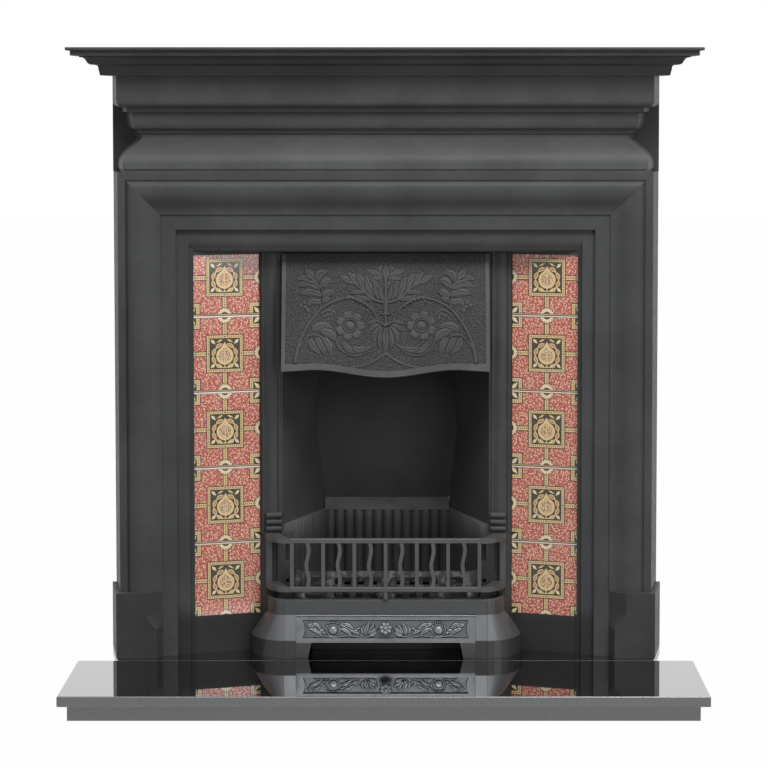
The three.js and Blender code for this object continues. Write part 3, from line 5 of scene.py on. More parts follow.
import bpy
import numpy as np
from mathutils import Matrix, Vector


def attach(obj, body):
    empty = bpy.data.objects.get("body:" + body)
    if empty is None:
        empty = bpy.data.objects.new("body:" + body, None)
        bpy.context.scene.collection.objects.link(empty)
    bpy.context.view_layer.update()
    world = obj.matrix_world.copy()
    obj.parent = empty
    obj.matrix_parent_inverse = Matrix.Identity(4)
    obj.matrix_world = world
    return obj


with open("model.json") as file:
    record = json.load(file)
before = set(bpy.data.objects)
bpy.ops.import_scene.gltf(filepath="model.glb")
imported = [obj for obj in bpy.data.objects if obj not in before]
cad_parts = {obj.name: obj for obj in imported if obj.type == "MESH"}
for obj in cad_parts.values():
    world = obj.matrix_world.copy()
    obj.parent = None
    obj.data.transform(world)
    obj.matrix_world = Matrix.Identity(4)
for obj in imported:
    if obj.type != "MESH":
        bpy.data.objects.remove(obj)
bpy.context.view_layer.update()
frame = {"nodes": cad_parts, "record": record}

SCENE = bpy.context.scene
SCENE.view_settings.view_transform = "Standard"
NODES = frame["nodes"]

# Millimetres, as in the solids, and how far the ornament's skin stands proud or is sunk
WALL_Y = 124.5
SLAB_TOP = 50.0
HOOD_TOP_Z = 850.7
HOOD_TOP_DEPTH = 50.0
HOOD_HALF = 206.7
HOOD_LEAN = 70.0
HOOD_FALL = 233.0
HOOD_SLOPE = math.hypot(HOOD_LEAN, HOOD_FALL)
HOOD_PLATE = 6.0
HOOD_LIP = 13.0
HOOD_DROP = 15.5
HOOD_WAVE_SHARE = 0.69
HOOD_FIELD_HALF = HOOD_HALF - 8.0
COVER_FOOT_DEPTH = 128.0
COVER_BASE = 31.0
COVER_LEAN = 14.0 / 51.0
COVER_SINK = 3.0
COVER_FIELD_LOW = 39.5
COVER_FIELD_HIGH = 73.5
COVER_FIELD_HALF = 165.5
FLARE_FOOT = 35.0
APRON_BASE = 86.0
SKIN_LIFT = 0.05
SKIN_SUNK = 0.6

# Grid points on each side of one that its painted recess shade is measured against
SHADE_REACH = 3

# Camera: lens and sensor in millimetres, place in metres, tilt in degrees
LENS = 119.655
SENSOR = 36.0
LENS_SHIFT = (-0.039, -0.16)
EYE = (0.0563, -5.0185, 1.1659)
TILT = 3.702

# Modifiers: metres and degrees, with the nodes that need their own
WELD = 0.00001
ARRIS = 0.0006
OWN_ARRIS = {
    "header": 0.0002, "left_jamb": 0.0002, "right_jamb": 0.0002, "hood": 0.0022,
    "left_plinth": 0.0, "right_plinth": 0.0,
}
CREASE = 38.0
OWN_CREASE = {
    "grate_apron": 13.0, "left_grate_end": 13.0, "right_grate_end": 13.0,
    "left_plinth": 20.0, "right_plinth": 20.0,
}
FLAT_SLOTS = ("granite", "mortar", "glazed_tile")

# Floor in metres, the share of it that shows plain white instead of the shadow, and the room's light
FLOOR_SIZE = 40.0
FLOOR_DROP = 0.0005
FLOOR_WHITE = 0.99
ROOM_LIGHT = 0.24

# Refractive index of the stone's polish
POLISH_IOR = 2.1

# Tile pattern, where the tile's face runs from -1 to 1 both ways
SHARP = 0.006
SOFT = 0.008
DOT_PITCH = 0.058
FRUIT_DROP = 0.06


# ---------------------------------------------------------------- camera
def make_camera():
    data = bpy.data.cameras.new("camera")
    data.sensor_width = SENSOR
    data.lens = LENS
    data.shift_x, data.shift_y = LENS_SHIFT
    data.clip_start, data.clip_end = 0.1, 60.0
    camera = bpy.data.objects.new("camera", data)
    camera.location = EYE
    camera.rotation_euler = (math.radians(90 - TILT), 0.0, 0.0)
    SCENE.collection.objects.link(camera)
    SCENE.camera = camera


# ---------------------------------------------------------------- shader graphs in plain formulas
class Graph:
    """A material's node tree, with a principled shader at its end."""

    def __init__(self, name):
        self.material = bpy.data.materials.new(name)
        self.material.use_nodes = True
        self.tree = self.material.node_tree
        self.tree.nodes.clear()
        self.shader = self.tree.nodes.new("ShaderNodeBsdfPrincipled")
        out = self.tree.nodes.new("ShaderNodeOutputMaterial")
        self.tree.links.new(self.shader.outputs[0], out.inputs["Surface"])

    def node(self, kind, **settings):
        made = self.tree.nodes.new(kind)
        for key, value in settings.items():
            setattr(made, key, value)
        return made

    def feed(self, socket, value):
        if isinstance(value, Value):
            value = value.socket
        if isinstance(value, bpy.types.NodeSocket):
            self.tree.links.new(value, socket)
        else:
            socket.default_value = value

    def math(self, operation, *values):
        made = self.node("ShaderNodeMath", operation=operation)
        for socket, value in zip(made.inputs, values):
            self.feed(socket, value)
        return Value(self, made.outputs[0])

    def vector(self, x, y, z=0.0):
        made = self.node("ShaderNodeCombineXYZ")
        for socket, value in zip(made.inputs, (x, y, z)):
            self.feed(socket, value)
        return made.outputs[0]

    def place(self):
        """The point's coordinates in metres: all three as one vector, then one by one."""
        made = self.node("ShaderNodeTexCoord")
        split = self.node("ShaderNodeSeparateXYZ")
        self.tree.links.new(made.outputs["Object"], split.inputs[0])
        return made.outputs["Object"], [Value(self, s) for s in split.outputs]

    def attribute(self, name):
        """A number that each point of the mesh carries."""
        return Value(self, self.node("ShaderNodeAttribute", attribute_name=name).outputs["Fac"])

    def normal(self):
        made = self.node("ShaderNodeNewGeometry")
        split = self.node("ShaderNodeSeparateXYZ")
        self.tree.links.new(made.outputs["True Normal"], split.inputs[0])
        return [Value(self, s) for s in split.outputs]

    def noise(self, vector, scale, detail=2.0, roughness=0.5):
        made = self.node("ShaderNodeTexNoise")
        self.feed(made.inputs["Vector"], vector)
        self.feed(made.inputs["Scale"], scale)
        self.feed(made.inputs["Detail"], detail)
        self.feed(made.inputs["Roughness"], roughness)
        return Value(self, made.outputs[0])

    def voronoi(self, vector, scale):
        made = self.node("ShaderNodeTexVoronoi")
        self.feed(made.inputs["Vector"], vector)
        self.feed(made.inputs["Scale"], scale)
        return made

    def ramp(self, value, low, high, to_low=0.0, to_high=1.0):
        made = self.node("ShaderNodeMapRange", interpolation_type="SMOOTHSTEP")
        for socket, v in zip(made.inputs, (value, low, high, to_low, to_high)):
            self.feed(socket, v)
        return Value(self, made.outputs[0])

    def mix(self, factor, a, b):
        made = self.node("ShaderNodeMix", data_type="RGBA")
        self.feed(made.inputs[0], factor)
        for socket, colour in zip(made.inputs[6:8], (a, b)):
            if isinstance(colour, tuple):
                colour = (*colour, 1.0)
            self.feed(socket, colour)
        return made.outputs[2]

    def set(self, **values):
        names = {
            "colour": "Base Color", "rough": "Roughness", "metal": "Metallic", "ior": "IOR",
            "specular": "Specular IOR Level", "coat": "Coat Weight", "coat_rough": "Coat Roughness",
            "coat_ior": "Coat IOR",
        }
        for key, value in values.items():
            if isinstance(value, tuple):
                value = (*value, 1.0)
            self.feed(self.shader.inputs[names[key]], value)

    def bump(self, height, strength, distance):
        made = self.node("ShaderNodeBump")
        made.inputs["Strength"].default_value = strength
        made.inputs["Distance"].default_value = distance
        self.feed(made.inputs["Height"], height)
        self.feed(self.shader.inputs["Normal"], made.outputs[0])


class Value:
    """A number in a graph, so that formulas read as formulas."""

    def __init__(self, graph, socket):
        self.graph, self.socket = graph, socket

    def _do(self, operation, *others):
        return self.graph.math(operation, self, *others)

    def __add__(self, other):
        return self._do("ADD", other)

    def __radd__(self, other):
        return self._do("ADD", other)

    def __sub__(self, other):
        return self._do("SUBTRACT", other)

    def __rsub__(self, other):
        return self.graph.math("SUBTRACT", other, self)

    def __mul__(self, other):
        return self._do("MULTIPLY", other)

    def __abs__(self):
        return self._do("ABSOLUTE")

    def at_least(self, other):
        return self._do("MAXIMUM", other)

    def at_most(self, other):
        return self._do("MINIMUM", other)

    def turned(self):
        """The sine of an angle."""
        return self._do("SINE")

    def below(self, edge, soft=SHARP):
        """1 where the value is under the edge, 0 above, with a soft step between."""
        return self.graph.ramp(self, edge - soft, edge + soft, 1.0, 0.0)

    def above(self, edge, soft=SHARP):
        return 1.0 - self.below(edge, soft)

    def between(self, low, high):
        return self.below(high, SOFT) * self.above(low, SOFT)


# ---------------------------------------------------------------- materials
def around_height(z, under, over):
    """Two heights in metres, under and over a height z above the slab in millimetres."""
    return (SLAB_TOP + z - under) / 1000.0, (SLAB_TOP + z + over) / 1000.0


def iron(name, colour=(0.064, 0.066, 0.067), rough=0.5, grain=1.0, shine=0.2, relief=False, painted_shade_by_height=None):
    """Cast iron under matt black stove paint: fine sand grain, slow mottling, and upward faces lighter,
    partly dust and partly painted light from above.

    An optional painted shade by height: two heights in metres and the shade at each.
    """
    g = Graph(name)
    where, (_, _, height) = g.place()
    slow = g.noise(where, 7.0, 3.0)
    fine = g.noise(where, 900.0, 2.0, 0.6)
    cloud = g.noise(where, 60.0, 3.0, 0.6)
    upward = g.ramp(g.normal()[2], 0.2, 1.0)
    shade = g.ramp(slow, 0.3, 0.7, 0.85, 1.15) * g.ramp(cloud, 0.3, 0.7, 0.94, 1.06)
    if relief:
        # Painted light and shade on the ornament: raised parts lighter, partly wear on the high spots, and
        # painted shade in its recesses
        shade = shade * g.ramp(g.attribute("raised"), 0.0, 0.4, 0.75, 1.15)
        shade = shade * g.ramp(g.attribute("painted_recess_shade"), 0.05, 0.6, 1.0, 0.35)
    if painted_shade_by_height:
        # Painted shade: the colour darkens or lightens with height
        shade = shade * g.ramp(height, *painted_shade_by_height)
    dark = g.mix(shade * 0.5, (0.0, 0.0, 0.0), tuple(2 * c for c in colour))
    # Painted light, with dust: upward faces are mixed towards a lighter grey as if lit from above
    g.set(colour=g.mix(upward * 0.45, dark, (0.105, 0.105, 0.103)),
          rough=g.ramp(cloud, 0.3, 0.7, rough - 0.05, rough + 0.07), specular=shine)
    g.bump(fine + cloud * 0.6, 0.25 * grain, 0.0004)
    return g.material


def polished_iron(name, low, high, relief=False):
    """Iron rubbed with graphite: silvery, with a painted highlight on the ornament's raised parts and
    painted shade in its recesses, and left black below the cover's panel.
    """
    g = Graph(name)
    where, (_, _, height) = g.place()
    cloud = g.noise(where, 45.0, 4.0, 0.6)
    fine = g.noise(where, 700.0, 2.0, 0.6)
    colour = g.mix(g.ramp(cloud, 0.3, 0.7), low, high)
    if relief:
        # Painted highlight on raised parts and painted shade in recesses
        colour = g.mix(g.ramp(g.attribute("raised"), 0.2, 0.8) * 0.6, colour, (0.25, 0.26, 0.275))
        colour = g.mix(g.ramp(g.attribute("painted_recess_shade"), 0.08, 0.45), colour, (0.012, 0.013, 0.014))
    rubbed = g.ramp(height, *around_height(COVER_BASE, 1.0, 0.0))
    g.set(colour=g.mix(rubbed, (0.045, 0.046, 0.047), colour), metal=rubbed * 0.75,
          rough=g.ramp(fine, 0.3, 0.7, 0.30, 0.42))
    g.bump(fine + cloud, 0.2, 0.0004)
    return g.material


def flared_iron(name):
    """Black iron, bright where the flare slopes upwards, partly polish and partly painted light from
    above, and black again on its upright foot.
    """
    g = Graph(name)
    where, (across, _, height) = g.place()
    cloud = g.noise(where, 45.0, 3.0, 0.6)
    # Painted light, with polish: upward-tilted faces of the flare are made bright
    slope = g.ramp(g.normal()[2], 0.12, 0.24)
    slope = slope * g.ramp(height, *around_height(APRON_BASE, 3.0, 1.0), 1.0, 0.0)
    middle = g.ramp(abs(across), 0.19, 0.235, 1.0, 0.25)
    foot = g.ramp(height, *around_height(FLARE_FOOT, 1.0, 1.0), 1.0, 0.0)
    black = g.mix(foot, (0.075, 0.078, 0.081), (0.045, 0.046, 0.047))
    colour = g.mix(slope * middle, black, (0.17, 0.176, 0.186))
    g.set(colour=colour, rough=g.ramp(cloud, 0.3, 0.7, 0.30, 0.42), specular=0.45,
          metal=slope * middle * 0.5)
    g.bump(g.noise(where, 900.0, 2.0, 0.6), 0.15, 0.0004)
    return g.material


def worn_iron(name):
    """Iron blackened by fire, with light rubbed spots and brown patches."""
    g = Graph(name)
    where, _ = g.place()
    cloud = g.noise(where, 70.0, 4.0, 0.65)
    patch = g.noise(where, 22.0, 3.0, 0.6)
    colour = g.mix(g.ramp(cloud, 0.45, 0.7), (0.06, 0.06, 0.057), (0.24, 0.235, 0.22))
    g.set(colour=g.mix(g.ramp(patch, 0.5, 0.7), colour, (0.04, 0.034, 0.028)), metal=0.5, rough=0.5)
    g.bump(cloud, 0.3, 0.0006)
    return g.material


def brick_iron(name):
    """Rough iron standing in for brick, darker low down."""
    g = Graph(name)
    where, (_, _, height) = g.place()
    pits = g.noise(where, 260.0, 4.0, 0.7)
    slow = g.noise(where, 25.0, 3.0)
    rubbed = g.mix(g.ramp(slow, 0.3, 0.7), (0.145, 0.149, 0.152), (0.2, 0.206, 0.21))
    g.set(colour=g.mix(g.ramp(height, 0.24, 0.34), (0.05, 0.051, 0.052), rubbed), rough=0.6, specular=0.25)
    g.bump(pits, 0.5, 0.0012)
    return g.material


def granite(name):
    """Black granite: mirror top, and edges a little duller that show the stone's grey-green."""
    g = Graph(name)
    where, _ = g.place()
    crystals = g.voronoi(where, 420.0)
    flake = g.ramp(Value(g, crystals.outputs["Color"]), 0.55, 0.95)
    cloud = g.noise(where, 180.0, 3.0, 0.7)
    upward = g.ramp(g.normal()[2], 0.6, 0.95)
    stone = g.mix(flake * g.ramp(cloud, 0.4, 0.7), (0.055, 0.062, 0.058), (0.105, 0.115, 0.108))
    top = g.mix(flake, (0.003, 0.0035, 0.0035), (0.008, 0.009, 0.009))
    g.set(colour=g.mix(upward, stone, top), rough=g.ramp(upward, 0.0, 1.0, 0.22, 0.02), ior=POLISH_IOR,
          coat=upward, coat_rough=0.02, coat_ior=POLISH_IOR)
    g.bump(cloud, 0.02, 0.0002)
    return g.material


def srgb(red, green, blue):
    """A colour as it is seen, 0 to 255, as the linear triple that a shader takes."""
    return tuple(c / 3294.6 if c <= 10 else ((c / 255 + 0.055) / 1.055) ** 2.4 for c in (red, green, blue))


CREAM = srgb(238, 208, 150)
PALE = srgb(250, 226, 186)
SALMON = srgb(212, 100, 90)
DARK = srgb(54, 54, 30)
BROWN = srgb(92, 52, 28)
OUTLINE = srgb(54, 22, 22)


class Pattern:
    """Colours laid one over another on a tile's face."""

    def __init__(self, graph):
        self.graph = graph
        made = graph.node("ShaderNodeAttribute", attribute_name="tile_place")
        split = graph.node("ShaderNodeSeparateXYZ")
        graph.feed(split.inputs[0], made.outputs["Vector"])
        u, self.v, seed = [Value(graph, s) for s in split.outputs]
        self.au, self.av = abs(u), abs(self.v)
        self.where = graph.vector(u, self.v, seed)
        self.ring = self.au.at_least(self.av)
        self.cross = self.au.at_most(self.av)
        self.bulb = self.length(self.au, self.v + FRUIT_DROP)
        self.colour = SALMON

    def paint(self, share, colour):
        self.colour = self.graph.mix(share, self.colour, colour)

    def length(self, a, b):
        return self.graph.math("SQRT", a * a + b * b)

    def angle(self, a, b):
        return self.graph.math("ARCTAN2", a, b)

    def dots(self, along):
        return self.graph.ramp((along * (2 * math.pi / DOT_PITCH)).turned(), 0.0, 0.35)

    def strokes(self, scale, long, wide):
        """Short strokes that lie every way, one to a cell."""
        g = self.graph
        cell = g.voronoi(self.where, scale)
        gap = g.node("ShaderNodeVectorMath", operation="SUBTRACT")
        g.feed(gap.inputs[0], self.where)
        g.feed(gap.inputs[1], cell.outputs["Position"])
        parts = g.node("ShaderNodeSeparateXYZ")
        g.feed(parts.inputs[0], gap.outputs[0])
        x, y = Value(g, parts.outputs[0]), Value(g, parts.outputs[1])
        turn = Value(g, cell.outputs["Color"]) * (2 * math.pi)
        sine, cosine = turn.turned(), (turn + math.pi / 2).turned()
        along, aside = abs(x * cosine + y * sine), abs(y * cosine - x * sine)
        return along.below(long, 0.01) * aside.below(wide)


def paint_field(p):
    """Short strokes, dark and pale, on the salmon ground."""
    p.paint(p.strokes(17.0, 0.018, 0.010), srgb(140, 46, 46))
    p.paint(p.strokes(10.5, 0.027, 0.011), PALE)
    p.paint(p.strokes(13.0, 0.010, 0.010), PALE)


def paint_bands(p):
    """Cross bands from the middle square to the edges, dotted along their middle."""
    p.paint(p.cross.below(0.074), OUTLINE)
    p.paint(p.cross.below(0.050), CREAM)
    p.paint(p.cross.below(0.020) * p.dots(p.ring), BROWN)


def paint_corners(p):
    """Corner squares: a dotted frame and a leaf on the dark ground."""
    p.paint(p.cross.above(0.652), OUTLINE)
    p.paint(p.cross.above(0.676), CREAM)
    p.paint(p.cross.between(0.705, 0.735) * p.dots(p.ring), BROWN)
    p.paint(p.cross.above(0.765), DARK)
    leaf = abs(p.au - p.av) + abs(p.au + p.av - 1.76) * 0.42
    p.paint(leaf.below(0.075, 0.012) * p.cross.above(0.775), PALE)


def paint_square(p):
    """Middle square: outline, dotted frame and dark ground."""
    p.paint(p.ring.below(0.508), OUTLINE)
    p.paint(p.ring.below(0.484), CREAM)
    p.paint(p.ring.between(0.432, 0.462) * p.dots(p.cross), BROWN)
    p.paint(p.ring.below(0.412), OUTLINE)
    p.paint(p.ring.below(0.388), DARK)


def paint_leaves(p):
    """A wreath of small leaves round the fruit, and a spray in each corner of the square."""
    inner = p.ring.below(0.375)
    bend = p.angle(p.v + FRUIT_DROP, p.au)
    wreath = abs(p.bulb - 0.315) - abs((bend * 4.5).turned()) * 0.045
    p.paint(wreath.below(0.008, SOFT) * inner, CREAM)
    p.paint(wreath.below(-0.018) * inner, srgb(202, 128, 96))
    spray = abs(p.au - p.av) + abs(p.au + p.av - 0.64) * 0.45
    p.paint(spray.below(0.060, 0.012) * inner, PALE)
    spray = abs(p.au * 0.5 + p.av - 0.41) + abs(p.au - 0.13) * 0.3
    p.paint(spray.below(0.030, 0.010) * inner, CREAM)


def paint_fruit(p):
    """A pomegranate, round below and pointed above, with its heart and a line down the middle."""
    over = p.v.above(-FRUIT_DROP, SOFT)
    point = p.au * 1.6 + p.v
    for radius, tip, colour in (
        (0.250, 0.345, OUTLINE), (0.232, 0.310, CREAM), (0.165, 0.190, srgb(164, 110, 72)),
    ):
        fruit = p.bulb.below(radius, SOFT).at_least(point.below(tip, 0.010) * over)
        p.paint(fruit, colour)
    p.paint(fruit * p.strokes(24.0, 0.016, 0.012), PALE)
    p.paint(p.au.below(0.012) * p.bulb.below(0.32, SOFT), CREAM)


def paint_rosettes(p):
    """Half rosettes on the four edges."""
    near = p.length(1.0 - p.au, p.av).at_most(p.length(p.au, 1.0 - p.av))
    turn = p.angle(p.cross, 1.0 - p.ring)
    gear = 0.148 + p.graph.math("POWER", abs((turn * 7.0).turned()), 0.6) * 0.052
    p.paint((near - gear).below(0.022), OUTLINE)
    p.paint((near - gear).below(0.0, SOFT), PALE)
    p.paint(near.below(0.100, SOFT), BROWN)
    p.paint(near.below(0.062, SOFT), srgb(120, 128, 108))


def paint_rim(p):
    """A thin line, then the joint: a painted highlight on the glaze along the top and a dark joint line
    along the bottom.
    """
    p.paint(p.ring.above(0.952, 0.004), OUTLINE)
    p.paint(p.ring.above(0.966, 0.004), CREAM)
    # Painted highlight along the top edge of the glaze
    p.paint(p.v.above(0.974, 0.004), srgb(232, 222, 226))
    p.paint(p.v.below(-0.984, 0.004), srgb(60, 44, 40))


def tile(name):
    """Glazed tile, with bare clay on its edges and back."""
    g = Graph(name)
    pattern = Pattern(g)
    for paint in (paint_field, paint_bands, paint_corners, paint_square, paint_leaves, paint_fruit,
                  paint_rosettes, paint_rim):
        paint(pattern)
    glazed = g.ramp(g.normal()[1], -0.7, -0.5, 1.0, 0.0)
    crackle = g.noise(pattern.where, 6.0, 2.0)
    g.set(colour=g.mix(glazed, srgb(178, 150, 122), pattern.colour),
          rough=g.ramp(crackle, 0.3, 0.7, 0.10, 0.16), coat=0.35, coat_rough=0.06)
    edge = g.ramp(pattern.ring, 0.93, 1.0, 1.0, 0.0)
    g.bump(edge + crackle * 0.15, 0.5, 0.0008)
    return g.material


def place_tile_pattern(node, seed):
    """Gives a tile's corners their place on its face, from -1 to 1 both ways."""
    mesh = node.data
    points = np.empty(len(mesh.vertices) * 3)
    mesh.vertices.foreach_get("co", points)
    points = points.reshape(-1, 3)
    points = points - (points.max(axis=0) + points.min(axis=0)) / 2
    values, axes = np.linalg.eigh(np.cov(points[:, :2].T))
    sideways = points[:, :2] @ axes[:, np.argmax(values)]
    place = np.stack([sideways / sideways.max(), points[:, 2] / points[:, 2].max(),
                      np.full(len(points), float(seed))], axis=-1)
    held = mesh.attributes.new("tile_place", "FLOAT_VECTOR", "POINT")
    held.data.foreach_set("vector", place.reshape(-1))


def mortar(name):
    g = Graph(name)
    where, _ = g.place()
    grit = g.noise(where, 300.0, 5.0, 0.7)
    g.set(colour=g.mix(g.ramp(grit, 0.3, 0.7), (0.17, 0.165, 0.15), (0.33, 0.32, 0.29)), rough=0.95)
    g.bump(grit, 0.7, 0.002)
    return g.material


def sheet_steel(name):
    g = Graph(name)
    where, _ = g.place()
    cloud = g.noise(where, 30.0, 4.0, 0.6)
    g.set(colour=g.mix(g.ramp(cloud, 0.3, 0.7), (0.09, 0.093, 0.097), (0.17, 0.172, 0.178)), metal=0.8,
          rough=g.ramp(cloud, 0.3, 0.7, 0.38, 0.55))
    g.bump(g.noise(where, 500.0), 0.15, 0.0004)
    return g.material


# ---------------------------------------------------------------- cast ornament
def curve(points, steps=8):
    """A smooth line through a few points."""
    p = np.array([points[0], *points, points[-1]], float)
    t = np.linspace(0.0, 1.0, steps, endpoint=False)[:, None]
    spans = [0.5 * (2 * b + (c - a) * t + (2 * a - 5 * b + 4 * c - d) * t ** 2
                    + (3 * b - a - 3 * c + d) * t ** 3)
             for a, b, c, d in zip(p, p[1:], p[2:], p[3:])]
    return np.vstack([*spans, p[-1:]])


class Relief:
    """Ornament in millimetres of height over a flat panel, drawn left of its middle and mirrored."""

    def __init__(self, half, low, high, pitch):
        self.across = np.linspace(-half, half, 2 * round(half / pitch) + 1)
        self.down = np.linspace(low, high, round((high - low) / pitch) + 1)
        self.u, self.v = np.meshgrid(self.across, self.down)
        self.height = np.zeros_like(self.u)

    def near(self, line, reach):
        """Points within reach of a line: their window, place along it (0 to 1), side and distance."""
        first, last = line.min(0) - reach, line.max(0) + reach
        rows = np.searchsorted(self.down, (first[1], last[1]))
        columns = np.searchsorted(self.across, (first[0], last[0]))
        window = (slice(*rows), slice(*columns))
        u, v = self.u[window], self.v[window]
        length = np.maximum(np.hypot(*np.diff(line, axis=0).T), 1e-6)
        start = np.concatenate([[0.0], np.cumsum(length)])
        away = np.full(u.shape, np.inf)
        along, side = np.zeros_like(u), np.zeros_like(u)
        for k, (a, b) in enumerate(zip(line, line[1:])):
            step = (b - a) / length[k]
            du, dv = u - a[0], v - a[1]
            t = np.clip(du * step[0] + dv * step[1], 0.0, length[k])
            x, y = du - t * step[0], dv - t * step[1]
            gap = np.hypot(x, y)
            closer = gap < away
            away = np.where(closer, gap, away)
            along = np.where(closer, start[k] + t, along)
            side = np.where(closer, np.sign(step[0] * dv - step[1] * du) * gap, side)
        return window, along / start[-1], side, away

    def lay(self, window, height):
        self.height[window] = np.maximum(self.height[window], height)

    def stem(self, points, thick, thin, high):
        """A rounded stem that tapers from one end to the other."""
        window, t, _, away = self.near(curve(points), thick)
        width = thick + (thin - thick) * t
        round_top = np.sqrt(np.clip(1.0 - (away / width) ** 2, 0.0, 1.0))
        self.lay(window, high * round_top * np.sqrt(width / max(thick, thin)))

    def leaf(self, points, width, high, lobes=1):
        """A domed blade with a sunk vein, ribbed where it has lobes, cut out of what lies under it."""
        window, t, side, away = self.near(curve(points), 0.62 * width)
        s = np.abs(side) / (width / 2)
        blade = np.sin(np.pi * np.clip(t, 0.0, 1.0) ** 0.8) ** 0.6
        rib = np.abs(np.sin(np.pi * (lobes * (t - 0.12 * s)))) if lobes > 1 else np.ones_like(t)
        edge = np.maximum(blade * (0.74 + 0.26 * rib), 0.02)
        dome = np.sqrt(np.clip(1.0 - (s / edge) ** 2, 0.0, 1.0))
        vein = 1.0 - 0.45 * np.exp(-(side / (0.03 * width + 0.35)) ** 2)
        groove = (s > edge) & (s < edge + 2.2 / width) & (away < np.abs(side) + 0.6)
        self.height[window] *= 1.0 - 0.65 * groove
        ends = np.clip(1.0 - (away - np.abs(side)) / 0.5, 0.0, 1.0)
        self.lay(window, high * dome ** 0.7 * (0.55 + 0.45 * rib) * vein * ends)

    def around(self, centre, radius):
        """Points within a radius of a centre: their window, distance from it and angle."""
        rows = np.searchsorted(self.down, (centre[1] - radius, centre[1] + radius))
        columns = np.searchsorted(self.across, (centre[0] - radius, centre[0] + radius))
        window = (slice(*rows), slice(*columns))
        x, y = self.u[window] - centre[0], self.v[window] - centre[1]
        return window, np.hypot(x, y), np.arctan2(y, x)

    def bead(self, centre, radius, high):
        window, r, _ = self.around(centre, radius)
        self.lay(window, high * np.sqrt(np.clip(1.0 - (r / radius) ** 2, 0.0, 1.0)))

    def flower(self, centre, radius, petals, high):
        """Broad petals, each with a fold down its middle, round a beaded ring and a boss."""
        window, r, angle = self.around(centre, 1.05 * radius)
        petal = np.abs(np.cos(petals * angle / 2))
        fold = np.exp(-((petal - 1.0) / 0.04) ** 2)
        edge = radius * (0.66 + 0.34 * petal ** 0.5 - 0.04 * fold)
        blade = np.clip((edge - r) / (0.12 * radius), 0.0, 1.0) ** 0.5
        rise = 0.35 + 0.65 * np.clip(r / edge, 0.0, 1.0)
        self.height[window] *= r > 1.02 * edge
        self.lay(window, high * blade * rise * (0.30 + 0.70 * petal ** 0.5) * (1.0 - 0.15 * fold))
        ring = np.exp(-((r / radius - 0.42) / 0.05) ** 2)
        self.height[window] *= 1.0 - 0.9 * (r < 0.50 * radius)
        self.lay(window, 0.85 * high * ring)
        self.bead(centre, 0.30 * radius, 0.8 * high)
        self.bead((centre[0] - 0.05 * radius, centre[1] + 0.05 * radius), 0.15 * radius, 1.15 * high)

    def finished(self, grain, seed):
        """Mirrors the ornament and stipples the ground between it."""
        whole = np.maximum(self.height, self.height[:, ::-1])
        noise = np.random.default_rng(seed).random(whole.shape)
        soft = (noise + np.roll(noise, 1, 0) + np.roll(noise, 1, 1) + np.roll(noise, (1, 1), (0, 1))) / 4
        ground = np.clip(1.0 - whole / 0.5, 0.0, 1.0)
        return whole + grain * np.clip((soft - 0.42) / 0.22, 0.0, 1.0) * ground


def blurred(field, reach):
    """The mean of a square of neighbours, worked out one way and then the other."""
    for axis in (0, 1):
        field = sum(np.roll(field, k, axis) for k in range(-reach, reach + 1)) / (2 * reach + 1)
    return field


def relief_piece(name, relief, height, place, bury, rim_shade):
    """The ornament as a skin whose rim, and all that bury marks, is sunk in the iron behind it."""
    sunk = bury(relief.u, relief.v)
    sunk[[0, -1], :] = True
    sunk[:, [0, -1]] = True
    n = np.where(sunk, -SKIN_SUNK, height + SKIN_LIFT)
    rows, columns = n.shape
    points = np.stack(place(relief.u, relief.v, n), axis=-1).reshape(-1, 3) / 1000.0
    corner = (np.arange(rows - 1)[:, None] * columns + np.arange(columns - 1)).reshape(-1)
    faces = np.stack([corner, corner + columns, corner + columns + 1, corner + 1], axis=-1)
    hidden = sunk.reshape(-1)[faces].all(axis=1)
    faces = faces[~hidden]
    used, faces = np.unique(faces, return_inverse=True)
    faces = faces.reshape(-1, 4)
    mesh = bpy.data.meshes.new(name)
    mesh.from_pydata(points[used].tolist(), [], faces.tolist())
    mesh.polygons.foreach_set("use_smooth", [True] * len(mesh.polygons))
    # Painted shade: how far a point lies below its neighbours, plus a painted shadow along the sunk rim,
    # kept for the shader to darken
    painted_recess_shade = (blurred(height, SHADE_REACH) - height) / (0.35 * height.max())
    painted_recess_shade = painted_recess_shade + rim_shade * blurred(sunk.astype(float), SHADE_REACH)
    for label, field in (("raised", height / height.max()), ("painted_recess_shade", painted_recess_shade)):
        tone = mesh.attributes.new(label, "FLOAT", "POINT")
        tone.data.foreach_set("value", np.clip(field.reshape(-1)[used], 0.0, 1.0))
    piece = bpy.data.objects.new(name, mesh)
    SCENE.collection.objects.link(piece)
    return piece


# Motifs on the hood: millimetres from its middle line and down its slope
def corner_leaf(r):
    """Blades on both sides of a bent vein, with berries above it."""
    for blade, width in (
        ([(-128, 100), (-142, 98), (-156, 97)], 13), ([(-127, 86), (-148, 78), (-171, 82)], 17),
        ([(-131, 72), (-152, 61), (-176, 66)], 17), ([(-137, 60), (-156, 50), (-178, 52)], 15),
        ([(-143, 52), (-152, 42), (-161, 32)], 15), ([(-137, 56), (-132, 42), (-116, 36)], 17),
        ([(-129, 68), (-118, 56), (-106, 56)], 17), ([(-127, 88), (-115, 80), (-104, 76)], 17),
        ([(-126, 98), (-118, 93), (-110, 90)], 12),
    ):
        r.leaf(blade, width, 3.0)
    r.stem([(-130, 112), (-125, 92), (-129, 70), (-147, 52)], 1.9, 1.1, 4.0)
    for u, v in ((-162, 100), (-169, 106), (-160, 109), (-153, 103)):
        r.bead((u, v), 4.6, 2.8)
    r.bead((-155, 116), 5.2, 3.6)
    r.stem([(-154, 120), (-154, 139)], 1.5, 1.2, 1.6)


